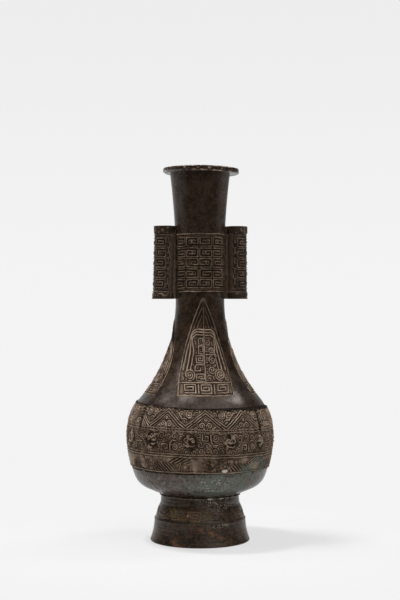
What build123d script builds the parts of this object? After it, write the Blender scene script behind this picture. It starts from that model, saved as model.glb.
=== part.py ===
from build123d import *

import os
from math import atan2, cos, degrees, hypot, radians, sin, tan

# Bronze hu vase with tubular handles, built from its castings and its applied relief plates.
# Millimetres, +Z up, origin at the centre of the foot's resting face. The front blade faces -Y and the two
# tube handles stand on the X axis. Directions round the vase are degrees from the front, towards +X.
# Cross-sections are drawn with radius along x and height along y, then stood up and turned round Z.

# Vessel wall, from the foot joint up to the lip
WALL = 3.2                  # thickness of the cast shells
FOOT_H = 31.5               # height of the joint between the foot and the belly
JOIN_R = 26.0               # outer radius at that joint
BOWL_DEPTH = 39.5           # from the joint up to the widest point
BOWL_CONE_R = 36.5          # radius where the bowl's conical bottom runs into its round side
BOWL_CONE_H = 4.6           # height of that place above the joint
BOWL_SIDE = 14.0            # length of the tangent at the widest point that steers the round side
BELLY_R = 48.9              # widest radius of the bare belly
BELLY_UPPER_R = 39.5        # radius of the arc that rolls over the shoulder
SHOULDER_RISE = 90.0        # from the widest point up to the slimmest part of the neck
NECK_R = 16.4               # slimmest radius of the neck
NECK_STRAIGHT = 25.0        # straight length of the neck above its slimmest part
FLARE_H = 60.4              # height of the flare that opens towards the lip
MOUTH_R = 20.2              # outer radius of the neck under the lip

# Lip
LIP_R = 25.7                # radius of the everted lip
LIP_THICK = 3.6             # thickness of the lip
LIP_EDGE = 1.0              # rounding of the lip's outer edges
LIP_SPIGOT_SET = 1.4        # how far the neck's spigot is set in from the neck's outer face
LIP_SPIGOT_H = 2.0          # how far it rises into the lip

# Joints between the castings
GAP = 0.1                   # soldering clearance between curved seats
LAP = 6.0                   # length of each lap joint
NECK_SEAM_RISE = 3.0        # the neck's seam lies this far above the lower edge of the neck panels
BED = 0.5                   # depth of the beds that locate the relief plates

# Belly floor, base plate and the stub that carries the foot
FLOOR_T = 3.2               # thickness of the belly's floor
CORE_HOLE_R = 17.5          # hole that the casting core was cleared through
STUB_R = 23.0               # outer radius of the stub under the belly
STUB_WALL = 2.6             # thickness of the stub
STUB_H = 5.0                # how far the stub reaches down into the foot
BASE_PLATE_T = 2.6          # thickness of the plate that closes the core hole

# Foot ring, its frieze and the solder bead above it
FOOT_R = 33.4               # radius at the bottom edge
FOOT_RIM_W = 4.0            # width of the resting rim, with its rounded edge
FOOT_EDGE = 0.8             # rounding of the outer bottom edge
SKIRT_H = 15.5              # height of the plain skirt
SKIRT_TOP_R = 30.6          # radius of the skirt at its top
COLLAR_R = 26.6             # radius of the collar at the frieze's upper edge
FRIEZE_LEDGE = 1.2          # width of the ledge that the frieze ring stands on
FRIEZE_H = 9.5              # height of the frieze ring
FRIEZE_T = 0.9              # thickness of the frieze ring
SOLDER_R = 0.6              # radius of the solder bead in the joint over the foot

# Relief plates
NECK_BAND_RISE = 5.0        # lower edge of the neck panels, above the slimmest part of the neck
NECK_BAND_H = 40.0          # height of the neck panels and of the handles' carved field
NECK_PANEL_SPACE = 2.1      # bare strip between a neck panel and a handle's web
NECK_PROUD = 0.7            # how far the neck panels stand out
BELLY_BAND_UP = 20.5        # the belly panels reach this far above the widest point
BELLY_BAND_DOWN = 21.5      # and this far below it
BELLY_PROUD = 1.1           # how far the belly panels stand out
BELLY_SHIFT = 6.0           # how far round the belly panels are set to the left of the blades
BELLY_WIDE_W = 88.3         # width of the front and the rear panel, along the belly
BELLY_STRIP_W = 3.1         # width of the bare strips between the belly panels
BLADE_TIP_GAP = 3.0         # from a blade's tip up to the neck panels
BLADE_SIDE_DROP = 13.0      # the side blades end this much lower, clear of the handles
BLADE_FOOT_GAP = 7.5        # from a blade's foot down to the belly panels
BLADE_HALF_W = 18.6         # half width of a blade at its foot
BLADE_TIP_HALF_W = 0.8      # half width of its blunt tip
BLADE_BOW = 2.5             # how far its long edges bow outwards
BLADE_PROUD = 0.8           # how far the blades stand out

# Tube handles
HANDLE_R = 7.3              # radius of the carved part of a tube
HANDLE_RIM_R = 7.6          # radius of the plain rims at its ends
HANDLE_LOW_RIM = 4.0        # height of the lower rim
HANDLE_HIGH_RIM = 5.0       # height of the upper rim
HANDLE_BORE_R = 4.8         # radius of the bore through the tube
HANDLE_STANDOFF = 1.4       # space between the neck and the tube's rims
HANDLE_WEB_W = 5.5          # width of the web that joins the tube to the neck
TENON_R = 2.2               # radius of the two tenons that pass through the neck wall
TENON_SPREAD = 24.0         # distance between them

# Heights and places worked out from the sizes above
BELLY_Z = FOOT_H + BOWL_DEPTH
WAIST_Z = BELLY_Z + SHOULDER_RISE
FLARE_Z = WAIST_Z + NECK_STRAIGHT
LIP_Z = FLARE_Z + FLARE_H
TOP_Z = LIP_Z + LIP_THICK
NECK_BAND_Z = WAIST_Z + NECK_BAND_RISE
NECK_BAND_TOP = NECK_BAND_Z + NECK_BAND_H
NECK_SEAM_Z = NECK_BAND_Z + NECK_SEAM_RISE
BELLY_BAND_Z = BELLY_Z - BELLY_BAND_DOWN
BELLY_BAND_TOP = BELLY_Z + BELLY_BAND_UP
BLADE_Z = BELLY_BAND_TOP + BLADE_FOOT_GAP
BLADE_TIP_Z = NECK_BAND_Z - BLADE_TIP_GAP
FRIEZE_TOP = SKIRT_H + FRIEZE_H
HANDLE_Z = NECK_BAND_Z - HANDLE_LOW_RIM
HANDLE_TOP = NECK_BAND_TOP + HANDLE_HIGH_RIM
HANDLE_MID = (NECK_BAND_Z + NECK_BAND_TOP) / 2
SEAT_LAP = WALL / 2         # a lap joint shares the wall between its two shells
CONE_SLOPE = atan2(BOWL_CONE_H, BOWL_CONE_R - JOIN_R)
SIDES = ("front", "right", "rear", "left")
QUARTER = 360 / len(SIDES)  # degrees from one side to the next


# Helpers for cross-sections
def arc(centre, start, end):
    """The short arc about a centre, from start to end."""
    cx, cy = centre
    mx, my = start[0] + end[0] - 2 * cx, start[1] + end[1] - 2 * cy
    reach = hypot(start[0] - cx, start[1] - cy) / hypot(mx, my)
    return ThreePointArc(start, (cx + mx * reach, cy + my * reach), end)


def moved_in(point, centre, offset, hollow):
    """A point of an arc moved into the wall by offset. A hollow arc has its centre outside the vessel."""
    dx, dy = point[0] - centre[0], point[1] - centre[1]
    radius = hypot(dx, dy)
    share = (radius + offset if hollow else radius - offset) / radius
    return (centre[0] + dx * share, centre[1] + dy * share)


def shoulder_arcs():
    """Centres of the hollow and the full arc of the shoulder, and the point where they meet.

    Both arcs are upright at their outer ends, so their radii add up to a sum that the rise and the step
    in radius fix, and they meet on the line between their centres."""
    step = BELLY_R - NECK_R
    radius_sum = (SHOULDER_RISE**2 + step**2) / (2 * step)
    hollow_r = radius_sum - BELLY_UPPER_R
    hollow = (NECK_R + hollow_r, WAIST_Z)
    full = (BELLY_R - BELLY_UPPER_R, BELLY_Z)
    share = hollow_r / radius_sum
    meet = (hollow[0] + (full[0] - hollow[0]) * share, hollow[1] + (full[1] - hollow[1]) * share)
    return hollow, full, meet


def bowl_arcs():
    """Centres of the bowl's upper and lower arc, where they meet, and where the lower one meets the cone.

    The arcs turn from upright at the widest point to the slope of the cone. The tangent from the widest
    point has the length BOWL_SIDE, and the tangent up from the cone gets the length at which the line
    between their ends is as long as both together. The arcs meet on that line, with one tangent."""
    cone_top = (BOWL_CONE_R, FOOT_H + BOWL_CONE_H)
    run, drop = BELLY_R - cone_top[0], BELLY_Z - cone_top[1]
    level, plumb = cos(CONE_SLOPE), sin(CONE_SLOPE)
    low_side = (run**2 + drop**2) / 2 - BOWL_SIDE * drop
    low_side /= run * level + drop * plumb + BOWL_SIDE * (1 - plumb)
    share = BOWL_SIDE / (BOWL_SIDE + low_side)
    tuck = share * (run - low_side * level)
    fall = BOWL_SIDE + share * (drop - BOWL_SIDE - low_side * plumb)
    meet = (BELLY_R - tuck, BELLY_Z - fall)
    upper_r = (fall**2 + tuck**2) / (2 * tuck)
    upper = (BELLY_R - upper_r, BELLY_Z)
    inward = ((upper[0] - meet[0]) / upper_r, (upper[1] - meet[1]) / upper_r)
    chord = (cone_top[0] - meet[0], cone_top[1] - meet[1])
    lower_r = (chord[0] ** 2 + chord[1] ** 2) / (2 * (inward[0] * chord[0] + inward[1] * chord[1]))
    lower = (meet[0] + inward[0] * lower_r, meet[1] + inward[1] * lower_r)
    return upper, lower, meet, cone_top


def inside(offset):
    """The area within the vessel's outer line moved in by offset, from the foot joint to above the lip."""
    hollow, full, shoulder_meet = shoulder_arcs()
    upper, lower, bowl_meet, cone_top = bowl_arcs()
    flare_step = MOUTH_R - NECK_R
    flare_r = (FLARE_H**2 + flare_step**2) / (2 * flare_step)
    flare = (NECK_R + flare_r, FLARE_Z)
    above = LIP_THICK + WALL
    flare_top = (flare[0] - (flare_r**2 - (FLARE_H + above) ** 2) ** 0.5, LIP_Z + above)

    top = moved_in(flare_top, flare, offset, True)
    flare_foot = (NECK_R - offset, FLARE_Z)
    waist = (NECK_R - offset, WAIST_Z)
    shoulder = moved_in(shoulder_meet, hollow, offset, True)
    widest = (BELLY_R - offset, BELLY_Z)
    corner = moved_in(bowl_meet, upper, offset, False)
    cone = moved_in(cone_top, lower, offset, False)
    joint = (JOIN_R + cone[0] - cone_top[0], FOOT_H + cone[1] - cone_top[1])
    line = [
        arc(flare, top, flare_foot),
        Line(flare_foot, waist),
        arc(hollow, waist, shoulder),
        arc(full, shoulder, widest),
        arc(upper, widest, corner),
        arc(lower, corner, cone),
        Line(cone, joint),
        Line(joint, (0, joint[1])),
        Line((0, joint[1]), (0, top[1])),
        Line((0, top[1]), top),
    ]
    return make_face(line)


def block(radius_in, radius_out, low, high):
    """A rectangle between two radii and two heights."""
    return Polygon(
        (radius_in, low), (radius_out, low), (radius_out, high), (radius_in, high), align=None
    )


def wall(outer, inner, low, high):
    """The part of the vessel's wall between two offsets from its outer face and two heights."""
    reach = block(0, BELLY_R + LIP_R, low, high)
    return (inside(outer) - inside(inner)) & reach


def turned(section):
    """The section turned once round the vase's axis."""
    return revolve(Plane.XZ * section, Axis.Z)


def sector(section, middle, half):
    """The section turned round the axis over a sector, in degrees from the front."""
    return Rot(0, 0, middle - half - QUARTER) * revolve(Plane.XZ * section, Axis.Z, 2 * half)


def degrees_at(length, radius):
    """The angle that a length takes up on a circle."""
    return degrees(length / radius)


# Relief plates and the beds that they are let into
def neck_panel(middle):
    """A neck panel and the cutter for its bed."""
    plate = wall(-NECK_PROUD, BED - GAP, NECK_BAND_Z, NECK_BAND_TOP)
    bed = wall(-NECK_PROUD, BED, NECK_BAND_Z - GAP, NECK_BAND_TOP + GAP)
    half = QUARTER - degrees_at(HANDLE_WEB_W / 2 + NECK_PANEL_SPACE, NECK_R)
    spare = degrees_at(GAP, NECK_R)
    return sector(plate, middle, half), sector(bed, middle, half + spare)


def belly_panel(middle, half):
    """A belly panel and the cutter for its bed."""
    plate = wall(-BELLY_PROUD, BED - GAP, BELLY_BAND_Z, BELLY_BAND_TOP)
    bed = wall(-BELLY_PROUD, BED, BELLY_BAND_Z - GAP, BELLY_BAND_TOP + GAP)
    spare = degrees_at(GAP, BOWL_CONE_R)
    return sector(plate, middle, half), sector(bed, middle, half + spare)


def blade_prism(tip, spare):
    """A front-facing prism of a blade's outline up to its tip, grown by spare. Its long edges are arcs."""
    wide, foot = BLADE_HALF_W + spare, BLADE_Z - spare
    narrow, top = BLADE_TIP_HALF_W + spare, tip + spare
    run, rise = narrow - wide, top - foot
    bow = BLADE_BOW / hypot(run, rise)
    bow_x, bow_z = (wide + narrow) / 2 + rise * bow, (foot + top) / 2 - run * bow
    outline = [
        Line((-wide, foot), (wide, foot)),
        ThreePointArc((wide, foot), (bow_x, bow_z), (narrow, top)),
        Line((narrow, top), (-narrow, top)),
        ThreePointArc((-narrow, top), (-bow_x, bow_z), (-wide, foot)),
    ]
    return extrude(Plane.XZ * make_face(outline), BELLY_R)


def blade_panel(middle, tip):
    """A blade up to its tip, and the cutter for its bed."""
    plate = turned(wall(-BLADE_PROUD, BED - GAP, BLADE_Z, tip)) & blade_prism(tip, 0)
    bed = turned(wall(-BLADE_PROUD, BED, BLADE_Z - GAP, tip + GAP)) & blade_prism(tip, GAP)
    return Rot(0, 0, middle) * plate, Rot(0, 0, middle) * bed


# Castings
def handle(side):
    """A tube handle with its web and tenons. Side is -1 for the left and 1 for the right."""
    centre = NECK_R + HANDLE_STANDOFF + HANDLE_RIM_R
    tube_section = (
        block(0, HANDLE_R, NECK_BAND_Z, NECK_BAND_TOP)
        + block(0, HANDLE_RIM_R, HANDLE_Z, NECK_BAND_Z)
        + block(0, HANDLE_RIM_R, NECK_BAND_TOP, HANDLE_TOP)
    )
    tube = Pos(centre, 0, 0) * turned(tube_section)
    web = Pos(centre / 2, 0, (HANDLE_Z + HANDLE_TOP) / 2) * Box(centre, HANDLE_WEB_W, HANDLE_TOP - HANDLE_Z)
    neck = turned(inside(-GAP) & block(0, NECK_R + WALL, HANDLE_Z - WALL, HANDLE_TOP + WALL))
    solid = tube + (web - neck)
    inner_face = NECK_R - WALL
    for shift in (-TENON_SPREAD / 2, TENON_SPREAD / 2):
        tenon = Cylinder(TENON_R, centre - inner_face, align=(Align.CENTER, Align.CENTER, Align.MIN))
        solid += Pos(inner_face, 0, HANDLE_MID + shift) * Rot(0, 90, 0) * tenon
    solid -= Pos(centre, 0, 0) * turned(block(0, HANDLE_BORE_R, HANDLE_Z, HANDLE_TOP))
    return solid if side > 0 else Rot(0, 0, 180) * solid


def tenon_holes():
    """The holes through the neck wall for the tenons of both handles."""
    across = 2 * (NECK_R + WALL)
    holes = [
        Pos(0, 0, HANDLE_MID + shift) * Rot(0, 90, 0) * Cylinder(TENON_R + GAP, across)
        for shift in (-TENON_SPREAD / 2, TENON_SPREAD / 2)
    ]
    return holes[0] + holes[1]


def lip_ring():
    """The everted lip, bored to the neck and rebated over the neck's spigot."""
    flat = LIP_R - LIP_EDGE
    low, high = LIP_Z + LIP_EDGE, TOP_Z - LIP_EDGE
    outline = [
        Line((0, LIP_Z), (flat, LIP_Z)),
        arc((flat, low), (flat, LIP_Z), (LIP_R, low)),
        Line((LIP_R, low), (LIP_R, high)),
        arc((flat, high), (LIP_R, high), (flat, TOP_Z)),
        Line((flat, TOP_Z), (0, TOP_Z)),
        Line((0, TOP_Z), (0, LIP_Z)),
    ]
    rebate = inside(LIP_SPIGOT_SET - GAP) & block(0, LIP_R, LIP_Z, LIP_Z + LIP_SPIGOT_H + GAP)
    return turned(make_face(outline) - inside(WALL) - rebate)


def neck_tube():
    """The flared neck, with a spigot for the lip above and a lap into the shoulder below."""
    section = (
        wall(0, WALL, NECK_SEAM_Z, LIP_Z)
        + wall(LIP_SPIGOT_SET, WALL, LIP_Z, LIP_Z + LIP_SPIGOT_H)
        + wall(SEAT_LAP + GAP, WALL, NECK_SEAM_Z - LAP, NECK_SEAM_Z)
    )
    return turned(section) - tenon_holes()


def shoulder_shell():
    """The upper half of the body, lapped over the neck and into the belly bowl."""
    section = (
        wall(0, WALL, BELLY_Z, NECK_SEAM_Z)
        - wall(SEAT_LAP, WALL, NECK_SEAM_Z - LAP - GAP, NECK_SEAM_Z)
        + wall(SEAT_LAP + GAP, WALL, BELLY_Z - LAP, BELLY_Z)
    )
    return turned(section)


def belly_bowl():
    """The lower half of the body, with its floor, core hole and the stub for the foot."""
    floor = FOOT_H + FLOOR_T
    cavity = inside(WALL) & block(0, BELLY_R, floor, BELLY_Z)
    section = (inside(0) & block(0, BELLY_R, FOOT_H, BELLY_Z)) - cavity
    section -= wall(SEAT_LAP, WALL, BELLY_Z - LAP - GAP, BELLY_Z)
    section -= block(0, CORE_HOLE_R, FOOT_H, floor)
    section += block(STUB_R - STUB_WALL, STUB_R, FOOT_H - STUB_H, FOOT_H)
    return turned(section)


def base_plate():
    """The disc that closes the core hole, let into the stub from below."""
    return turned(block(0, STUB_R - STUB_WALL - GAP, FOOT_H - BASE_PLATE_T, FOOT_H))


def foot_ring():
    """The spreading foot: a collar round the stub, a cone for the frieze, a ledge and a curved skirt."""
    cone_foot = SKIRT_TOP_R - FRIEZE_LEDGE
    flare_h = SKIRT_H - FOOT_EDGE
    flare_step = FOOT_R - SKIRT_TOP_R
    flare_r = (flare_h**2 + flare_step**2) / (2 * flare_step)
    skirt_foot = (FOOT_R, FOOT_EDGE)
    rim_edge = (FOOT_R - FOOT_EDGE, 0)
    round_mid = (FOOT_R - FOOT_EDGE * (1 - cos(radians(45))), FOOT_EDGE * (1 - sin(radians(45))))
    bore = STUB_R + GAP
    bore_foot = FOOT_H - STUB_H
    line = [
        Line((bore, FOOT_H), (JOIN_R, FOOT_H)),
        Line((JOIN_R, FOOT_H), (COLLAR_R, FRIEZE_TOP)),
        Line((COLLAR_R, FRIEZE_TOP), (cone_foot, SKIRT_H)),
        Line((cone_foot, SKIRT_H), (SKIRT_TOP_R, SKIRT_H)),
        arc((SKIRT_TOP_R + flare_r, SKIRT_H), (SKIRT_TOP_R, SKIRT_H), skirt_foot),
        ThreePointArc(skirt_foot, round_mid, rim_edge),
        Line(rim_edge, (FOOT_R - FOOT_RIM_W, 0)),
        Line((FOOT_R - FOOT_RIM_W, 0), (bore, bore_foot)),
        Line((bore, bore_foot), (bore, FOOT_H)),
    ]
    return turned(make_face(line))


def foot_frieze():
    """The carved ring that drops over the collar on to the cone and stands on the ledge."""
    high, low = COLLAR_R + GAP, SKIRT_TOP_R - FRIEZE_LEDGE + GAP
    ring = Polygon(
        (low, SKIRT_H),
        (low + FRIEZE_T, SKIRT_H),
        (high + FRIEZE_T, FRIEZE_TOP),
        (high, FRIEZE_TOP),
        align=None,
    )
    return turned(ring)


def foot_solder_bead():
    """The bead of solder that runs round the joint, in the corner between the collar and the bowl."""
    reach = SOLDER_R + GAP
    height = FOOT_H + reach * tan(CONE_SLOPE) - reach / cos(CONE_SLOPE)
    return Pos(0, 0, height) * Torus(JOIN_R + reach, SOLDER_R)


# Assembly
def build():
    """Every piece in its place, by name."""
    pieces = {
        "lip_ring": lip_ring(),
        "neck_tube": neck_tube(),
        "shoulder_shell": shoulder_shell(),
        "belly_bowl": belly_bowl(),
        "base_plate": base_plate(),
        "foot_ring": foot_ring(),
        "foot_frieze": foot_frieze(),
        "foot_solder_bead": foot_solder_bead(),
        "left_tube_handle": handle(-1),
        "right_tube_handle": handle(1),
    }
    wide_half = degrees_at(BELLY_WIDE_W / 2, BELLY_R)
    narrow_half = QUARTER - wide_half - degrees_at(BELLY_STRIP_W, BELLY_R)
    shift = degrees_at(BELLY_SHIFT, BELLY_R)
    for number, side in enumerate(SIDES):
        middle = number * QUARTER
        faces_y = side in ("front", "rear")
        blade, blade_bed = blade_panel(middle, BLADE_TIP_Z if faces_y else BLADE_TIP_Z - BLADE_SIDE_DROP)
        panel, panel_bed = belly_panel(middle - shift, wide_half if faces_y else narrow_half)
        pieces[f"blade_panel_{side}"] = blade
        pieces[f"belly_panel_{side}"] = panel
        pieces["belly_bowl"] -= panel_bed
        pieces["shoulder_shell"] -= panel_bed + blade_bed
        if faces_y:
            panel, panel_bed = neck_panel(middle)
            pieces[f"neck_panel_{side}"] = panel
            pieces["neck_tube"] -= panel_bed
            pieces["shoulder_shell"] -= panel_bed
    return pieces


os.makedirs("parts", exist_ok=True)
for node, piece in build().items():
    export_step(piece, f"parts/{node}.step")
    print(f"{node}: {piece.volume:.0f} mm3")
print(f"height {TOP_Z:.1f} mm, widest {2 * (BELLY_R + BELLY_PROUD):.1f} mm")
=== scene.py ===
# %% [markdown]
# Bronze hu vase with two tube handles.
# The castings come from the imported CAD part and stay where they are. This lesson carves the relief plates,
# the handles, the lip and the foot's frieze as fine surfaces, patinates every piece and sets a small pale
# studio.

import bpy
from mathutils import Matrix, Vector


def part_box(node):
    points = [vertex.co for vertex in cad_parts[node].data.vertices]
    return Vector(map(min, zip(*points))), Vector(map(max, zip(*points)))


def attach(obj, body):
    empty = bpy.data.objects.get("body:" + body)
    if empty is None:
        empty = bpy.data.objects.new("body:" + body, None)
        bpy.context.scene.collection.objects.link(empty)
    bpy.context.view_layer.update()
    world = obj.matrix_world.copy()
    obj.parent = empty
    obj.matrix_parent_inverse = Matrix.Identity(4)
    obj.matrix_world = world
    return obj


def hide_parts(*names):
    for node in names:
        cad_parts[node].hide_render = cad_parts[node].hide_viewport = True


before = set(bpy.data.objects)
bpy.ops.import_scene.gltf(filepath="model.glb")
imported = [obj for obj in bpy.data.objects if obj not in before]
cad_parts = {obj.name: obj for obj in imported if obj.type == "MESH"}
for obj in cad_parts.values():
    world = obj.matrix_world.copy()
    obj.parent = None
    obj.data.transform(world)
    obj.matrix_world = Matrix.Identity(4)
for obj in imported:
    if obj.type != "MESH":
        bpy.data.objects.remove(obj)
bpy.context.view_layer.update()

# %% [markdown]
# Sizes are easiest to think of in millimetres, while Blender keeps metres, so every surface below is worked
# out in millimetres and turned into metres in one place, where its mesh is made.

# %% Units and directions
import math

import bpy
import numpy as np

MM = 0.001
FRONT, RIGHT, REAR, LEFT = 0.0, 90.0, 180.0, 270.0
CAMERA_TURN = -7.0          # the photograph looks from seven degrees left of the front blade
print("directions round the vase, degrees from the front towards +X:", FRONT, RIGHT, REAR, LEFT)

# %% [markdown]
# Each carved plate lies on a turned wall, so it needs the wall's outline. The numbers could be written again
# here, but then a changed casting would leave its ornament behind. The outline is read from the CAD piece
# instead: the corners of the triangles that face outwards are pairs of height and radius, and one smooth
# polynomial through them is the skin that the carving is laid on.

# %% Read a turned skin from a CAD piece
FACES_OUT = 0.5             # least share of a triangle's normal that points away from the axis
SKIN_SAMPLES = 300          # evenly spaced heights that the line is fitted to
SKIN_DEGREE = 9             # enough bends for two arcs that run into each other


def corners_of(node):
    """Corners of a CAD piece's triangles in millimetres, as an array of triangle, corner and axis."""
    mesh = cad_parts[node].data
    flat = np.empty(3 * len(mesh.vertices), np.float32)
    mesh.vertices.foreach_get("co", flat)
    order = np.empty(len(mesh.loops), np.int32)
    mesh.loops.foreach_get("vertex_index", order)
    return flat.astype(float).reshape(-1, 3)[order].reshape(-1, 3, 3) / MM


def skin_of(node):
    """Radius against height on the outer face of a turned piece, as one Chebyshev polynomial.

    At every height that has a corner the largest radius counts. The straight lines between those places are
    sampled evenly, so that a plain stretch with few corners weighs as much as a finely cut arc."""
    triangle = corners_of(node)
    normal = np.cross(triangle[:, 1] - triangle[:, 0], triangle[:, 2] - triangle[:, 0])
    middle = triangle.mean(1)
    outward = (normal[:, :2] * middle[:, :2]).sum(1)
    outward /= np.maximum(np.linalg.norm(normal, axis=1) * np.hypot(middle[:, 0], middle[:, 1]), 1e-9)
    point = triangle[outward > FACES_OUT].reshape(-1, 3)
    height = point[:, 2].round(2)
    radius = np.hypot(point[:, 0], point[:, 1])
    order = np.lexsort((radius, height))[::-1]
    level, first = np.unique(height[order], return_index=True)
    even = np.linspace(level[0], level[-1], SKIN_SAMPLES)
    return np.polynomial.Chebyshev.fit(even, np.interp(even, level, radius[order][first]), SKIN_DEGREE)


def reach_of(node, direction):
    """Middle and half width in degrees of a piece seen from the axis, and its low and high edge."""
    point = corners_of(node).reshape(-1, 3)
    angle = np.degrees(np.arctan2(point[:, 0], -point[:, 1])) - direction
    angle = (angle + 180) % 360 - 180
    middle = (angle.min() + angle.max()) / 2
    return direction + middle, (angle.max() - angle.min()) / 2, point[:, 2].min(), point[:, 2].max()


def turned_points(radius, angle, height):
    """Points at a radius and a height, turned round the axis by an angle in degrees from the front."""
    turn = np.radians(angle)
    return np.stack([radius * np.sin(turn), -radius * np.cos(turn), height + 0 * turn], -1)


def on_skin(skin, angle, height, lift):
    """Points on a turned skin, raised by lift along its own normal.

    At each height the skin has the radius r and the slope dr/dz. The normal in the plane through the axis is
    (1, -dr/dz) made one long, and the angle, in degrees from the front, turns that plane round the vase."""
    slope = skin.deriv()(height)
    lean = np.sqrt(1 + slope**2)
    return turned_points(skin(height) + lift / lean, angle, height - lift * slope / lean)


neck_skin = skin_of("neck_panel_front")
belly_skin = skin_of("belly_panel_front")
blade_skin = skin_of("blade_panel_front")
print("skin radii:", [round(float(v), 2) for v in (neck_skin(186), belly_skin(71), blade_skin(110))])

# %% [markdown]
# A carved plate has a fine front and a back that nobody sees. One grid with the same points on both sides
# would double the triangles, so the back takes every eighth point, and the narrow wall round the edge is a
# ring of small many-sided faces that join eight fine steps to one coarse one. The plate is closed that way.

# %% Turn grids into closed meshes
COARSE = 8                  # fine steps of a plate's front for one step of its back


def quads(index):
    """Four-sided faces between neighbouring rows and columns of a grid of point numbers."""
    faces = np.stack([index[:-1, :-1], index[:-1, 1:], index[1:, 1:], index[1:, :-1]], -1)
    return faces.reshape(-1, 4)


def edge_loop(index):
    """Point numbers round the border of a grid, once, in the turning sense of its faces."""
    return np.concatenate([index[0, :-1], index[:-1, -1], index[-1, :0:-1], index[:0:-1, 0]])


def plate_faces(front_shape, back_shape):
    """Faces of a closed plate: the front grid, the coarser back grid turned over, and the wall between."""
    front = np.arange(front_shape[0] * front_shape[1]).reshape(front_shape)
    back = front.size + np.arange(back_shape[0] * back_shape[1]).reshape(back_shape)
    fine, coarse = edge_loop(front), edge_loop(back)
    spans = fine.reshape(len(coarse), -1)
    spans = np.concatenate([spans, np.roll(spans, -1, 0)[:, :1]], 1)
    wall = np.concatenate([spans[:, ::-1], coarse[:, None], np.roll(coarse, -1)[:, None]], 1)
    return [*quads(front).tolist(), *quads(back)[:, ::-1].tolist(), *wall.tolist()]


def ring_faces(rows, columns, turned_over=False):
    """Faces of a grid that closes on itself both ways, like the skin of a ring."""
    index = np.arange(rows * columns).reshape(rows, columns)
    index = np.concatenate([index, index[:, :1]], 1)
    faces = quads(np.concatenate([index, index[:1]], 0))
    return (faces[:, ::-1] if turned_over else faces).tolist()


made_pieces = []


def make_piece(name, points, faces, slot, stands_for, relief):
    """A mesh object from points in millimetres. Relief is 0 in the grooves and 1 on the ridges, per point."""
    mesh = bpy.data.meshes.new(name)
    mesh.from_pydata(points.reshape(-1, 3) * MM, [], faces)
    mesh.shade_smooth()
    ridge = mesh.attributes.new("ridge", "FLOAT", "POINT")
    ridge.data.foreach_set("value", relief.astype(np.float32).ravel())
    piece = bpy.data.objects.new(name, mesh)
    bpy.context.scene.collection.objects.link(piece)
    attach(piece, "root")
    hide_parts(stands_for)
    made_pieces.append((piece, slot))
    print(f"{name}: {sum(len(face) - 2 for face in faces)} triangles")
    return piece


def make_plate(node, skin, angle, height, lift, back_lift, relief):
    """A closed carved plate for a CAD node on a turned skin, from arrays of direction, height and lift."""
    front = on_skin(skin, angle, height, lift)
    coarse = (slice(None, None, COARSE), slice(None, None, COARSE))
    back = on_skin(skin, angle[coarse], height[coarse], back_lift)
    points = np.concatenate([front.reshape(-1, 3), back.reshape(-1, 3)])
    ridge = np.concatenate([relief.ravel(), np.zeros(back.shape[:2]).ravel()])
    faces = plate_faces(front.shape[:2], back.shape[:2])
    return make_piece(f"{node}_carved", points, faces, "bronze_relief", node, ridge)


print("a plate's back has one point for", COARSE * COARSE, "on its front")

# %% [markdown]
# The ornament was cut by hand into the wax and has been rubbed for centuries, so no line is quite straight
# and none is equally high all along. A smooth random field in space bends the lines and wears the ridges.
# It is the usual net of random numbers with a soft blend inside each cell, seeded, so every run is alike.

# %% Random fields
NET = 32                    # cells of the random net before it repeats
SPOT = 1.1                  # size of the fine unevenness on a worn ridge
PATCH_GAIN, SPOT_GAIN = 1.1, 0.35   # how much the worn patches and the spots count
WOBBLE = 0.3                # how far a hand-cut line strays
LONG_BEND, SHORT_BEND = 5.0, 1.7    # lengths of its bends
SHORT_SHARE = 0.45          # how much the short bends count


def grain(points, cell, seed):
    """Smooth random values from -1 to 1: random numbers at the corners of cubes, blended inside each cube."""
    table = np.random.default_rng(seed).uniform(-1, 1, (NET, NET, NET))
    place = points / cell
    base = np.floor(place).astype(int)
    share = place - base
    share = share * share * (3 - 2 * share)
    total = np.zeros(points.shape[:-1])
    for corner in np.ndindex(2, 2, 2):
        at = (base + corner) % NET
        weight = np.where(np.array(corner) == 1, share, 1 - share).prod(-1)
        total += weight * table[at[..., 0], at[..., 1], at[..., 2]]
    return total


def smooth(low, high, value):
    """0 at low, 1 at high, and an S-shaped step between them. Low may be the greater of the two."""
    share = np.clip((value - low) / (high - low), 0, 1)
    return share * share * (3 - 2 * share)


def worn(points, least, cell, seed):
    """How much of a ridge is left, from least to 1, in soft patches and with a little fine unevenness."""
    patch = 0.5 + 0.5 * grain(points, cell, seed)
    fine = 0.5 + 0.5 * grain(points, SPOT, seed + 1)
    return least + (1 - least) * np.clip(PATCH_GAIN * patch + SPOT_GAIN * fine, 0, 1)


def by_hand(points, across, up, seed):
    """The two coordinates of a pattern, bent a little as a hand bends them, in long and in short waves."""
    def sway(first):
        return grain(points, LONG_BEND, first) + SHORT_SHARE * grain(points, SHORT_BEND, first + 2)

    return across + WOBBLE * sway(seed), up + WOBBLE * sway(seed + 1)


print("wear at the origin:", round(float(worn(np.zeros((1, 3)), 0.6, 9, 1)[0]), 2))

# %% [markdown]
# All ornament is made of raised lines. A line is known by the distance to it, so a straight run, a squared
# spiral and a round curl each have a function that gives this distance at every point. Less the line's half
# width it is the gap to the line's outline, and the nearest line is simply the least of all the gaps.

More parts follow.
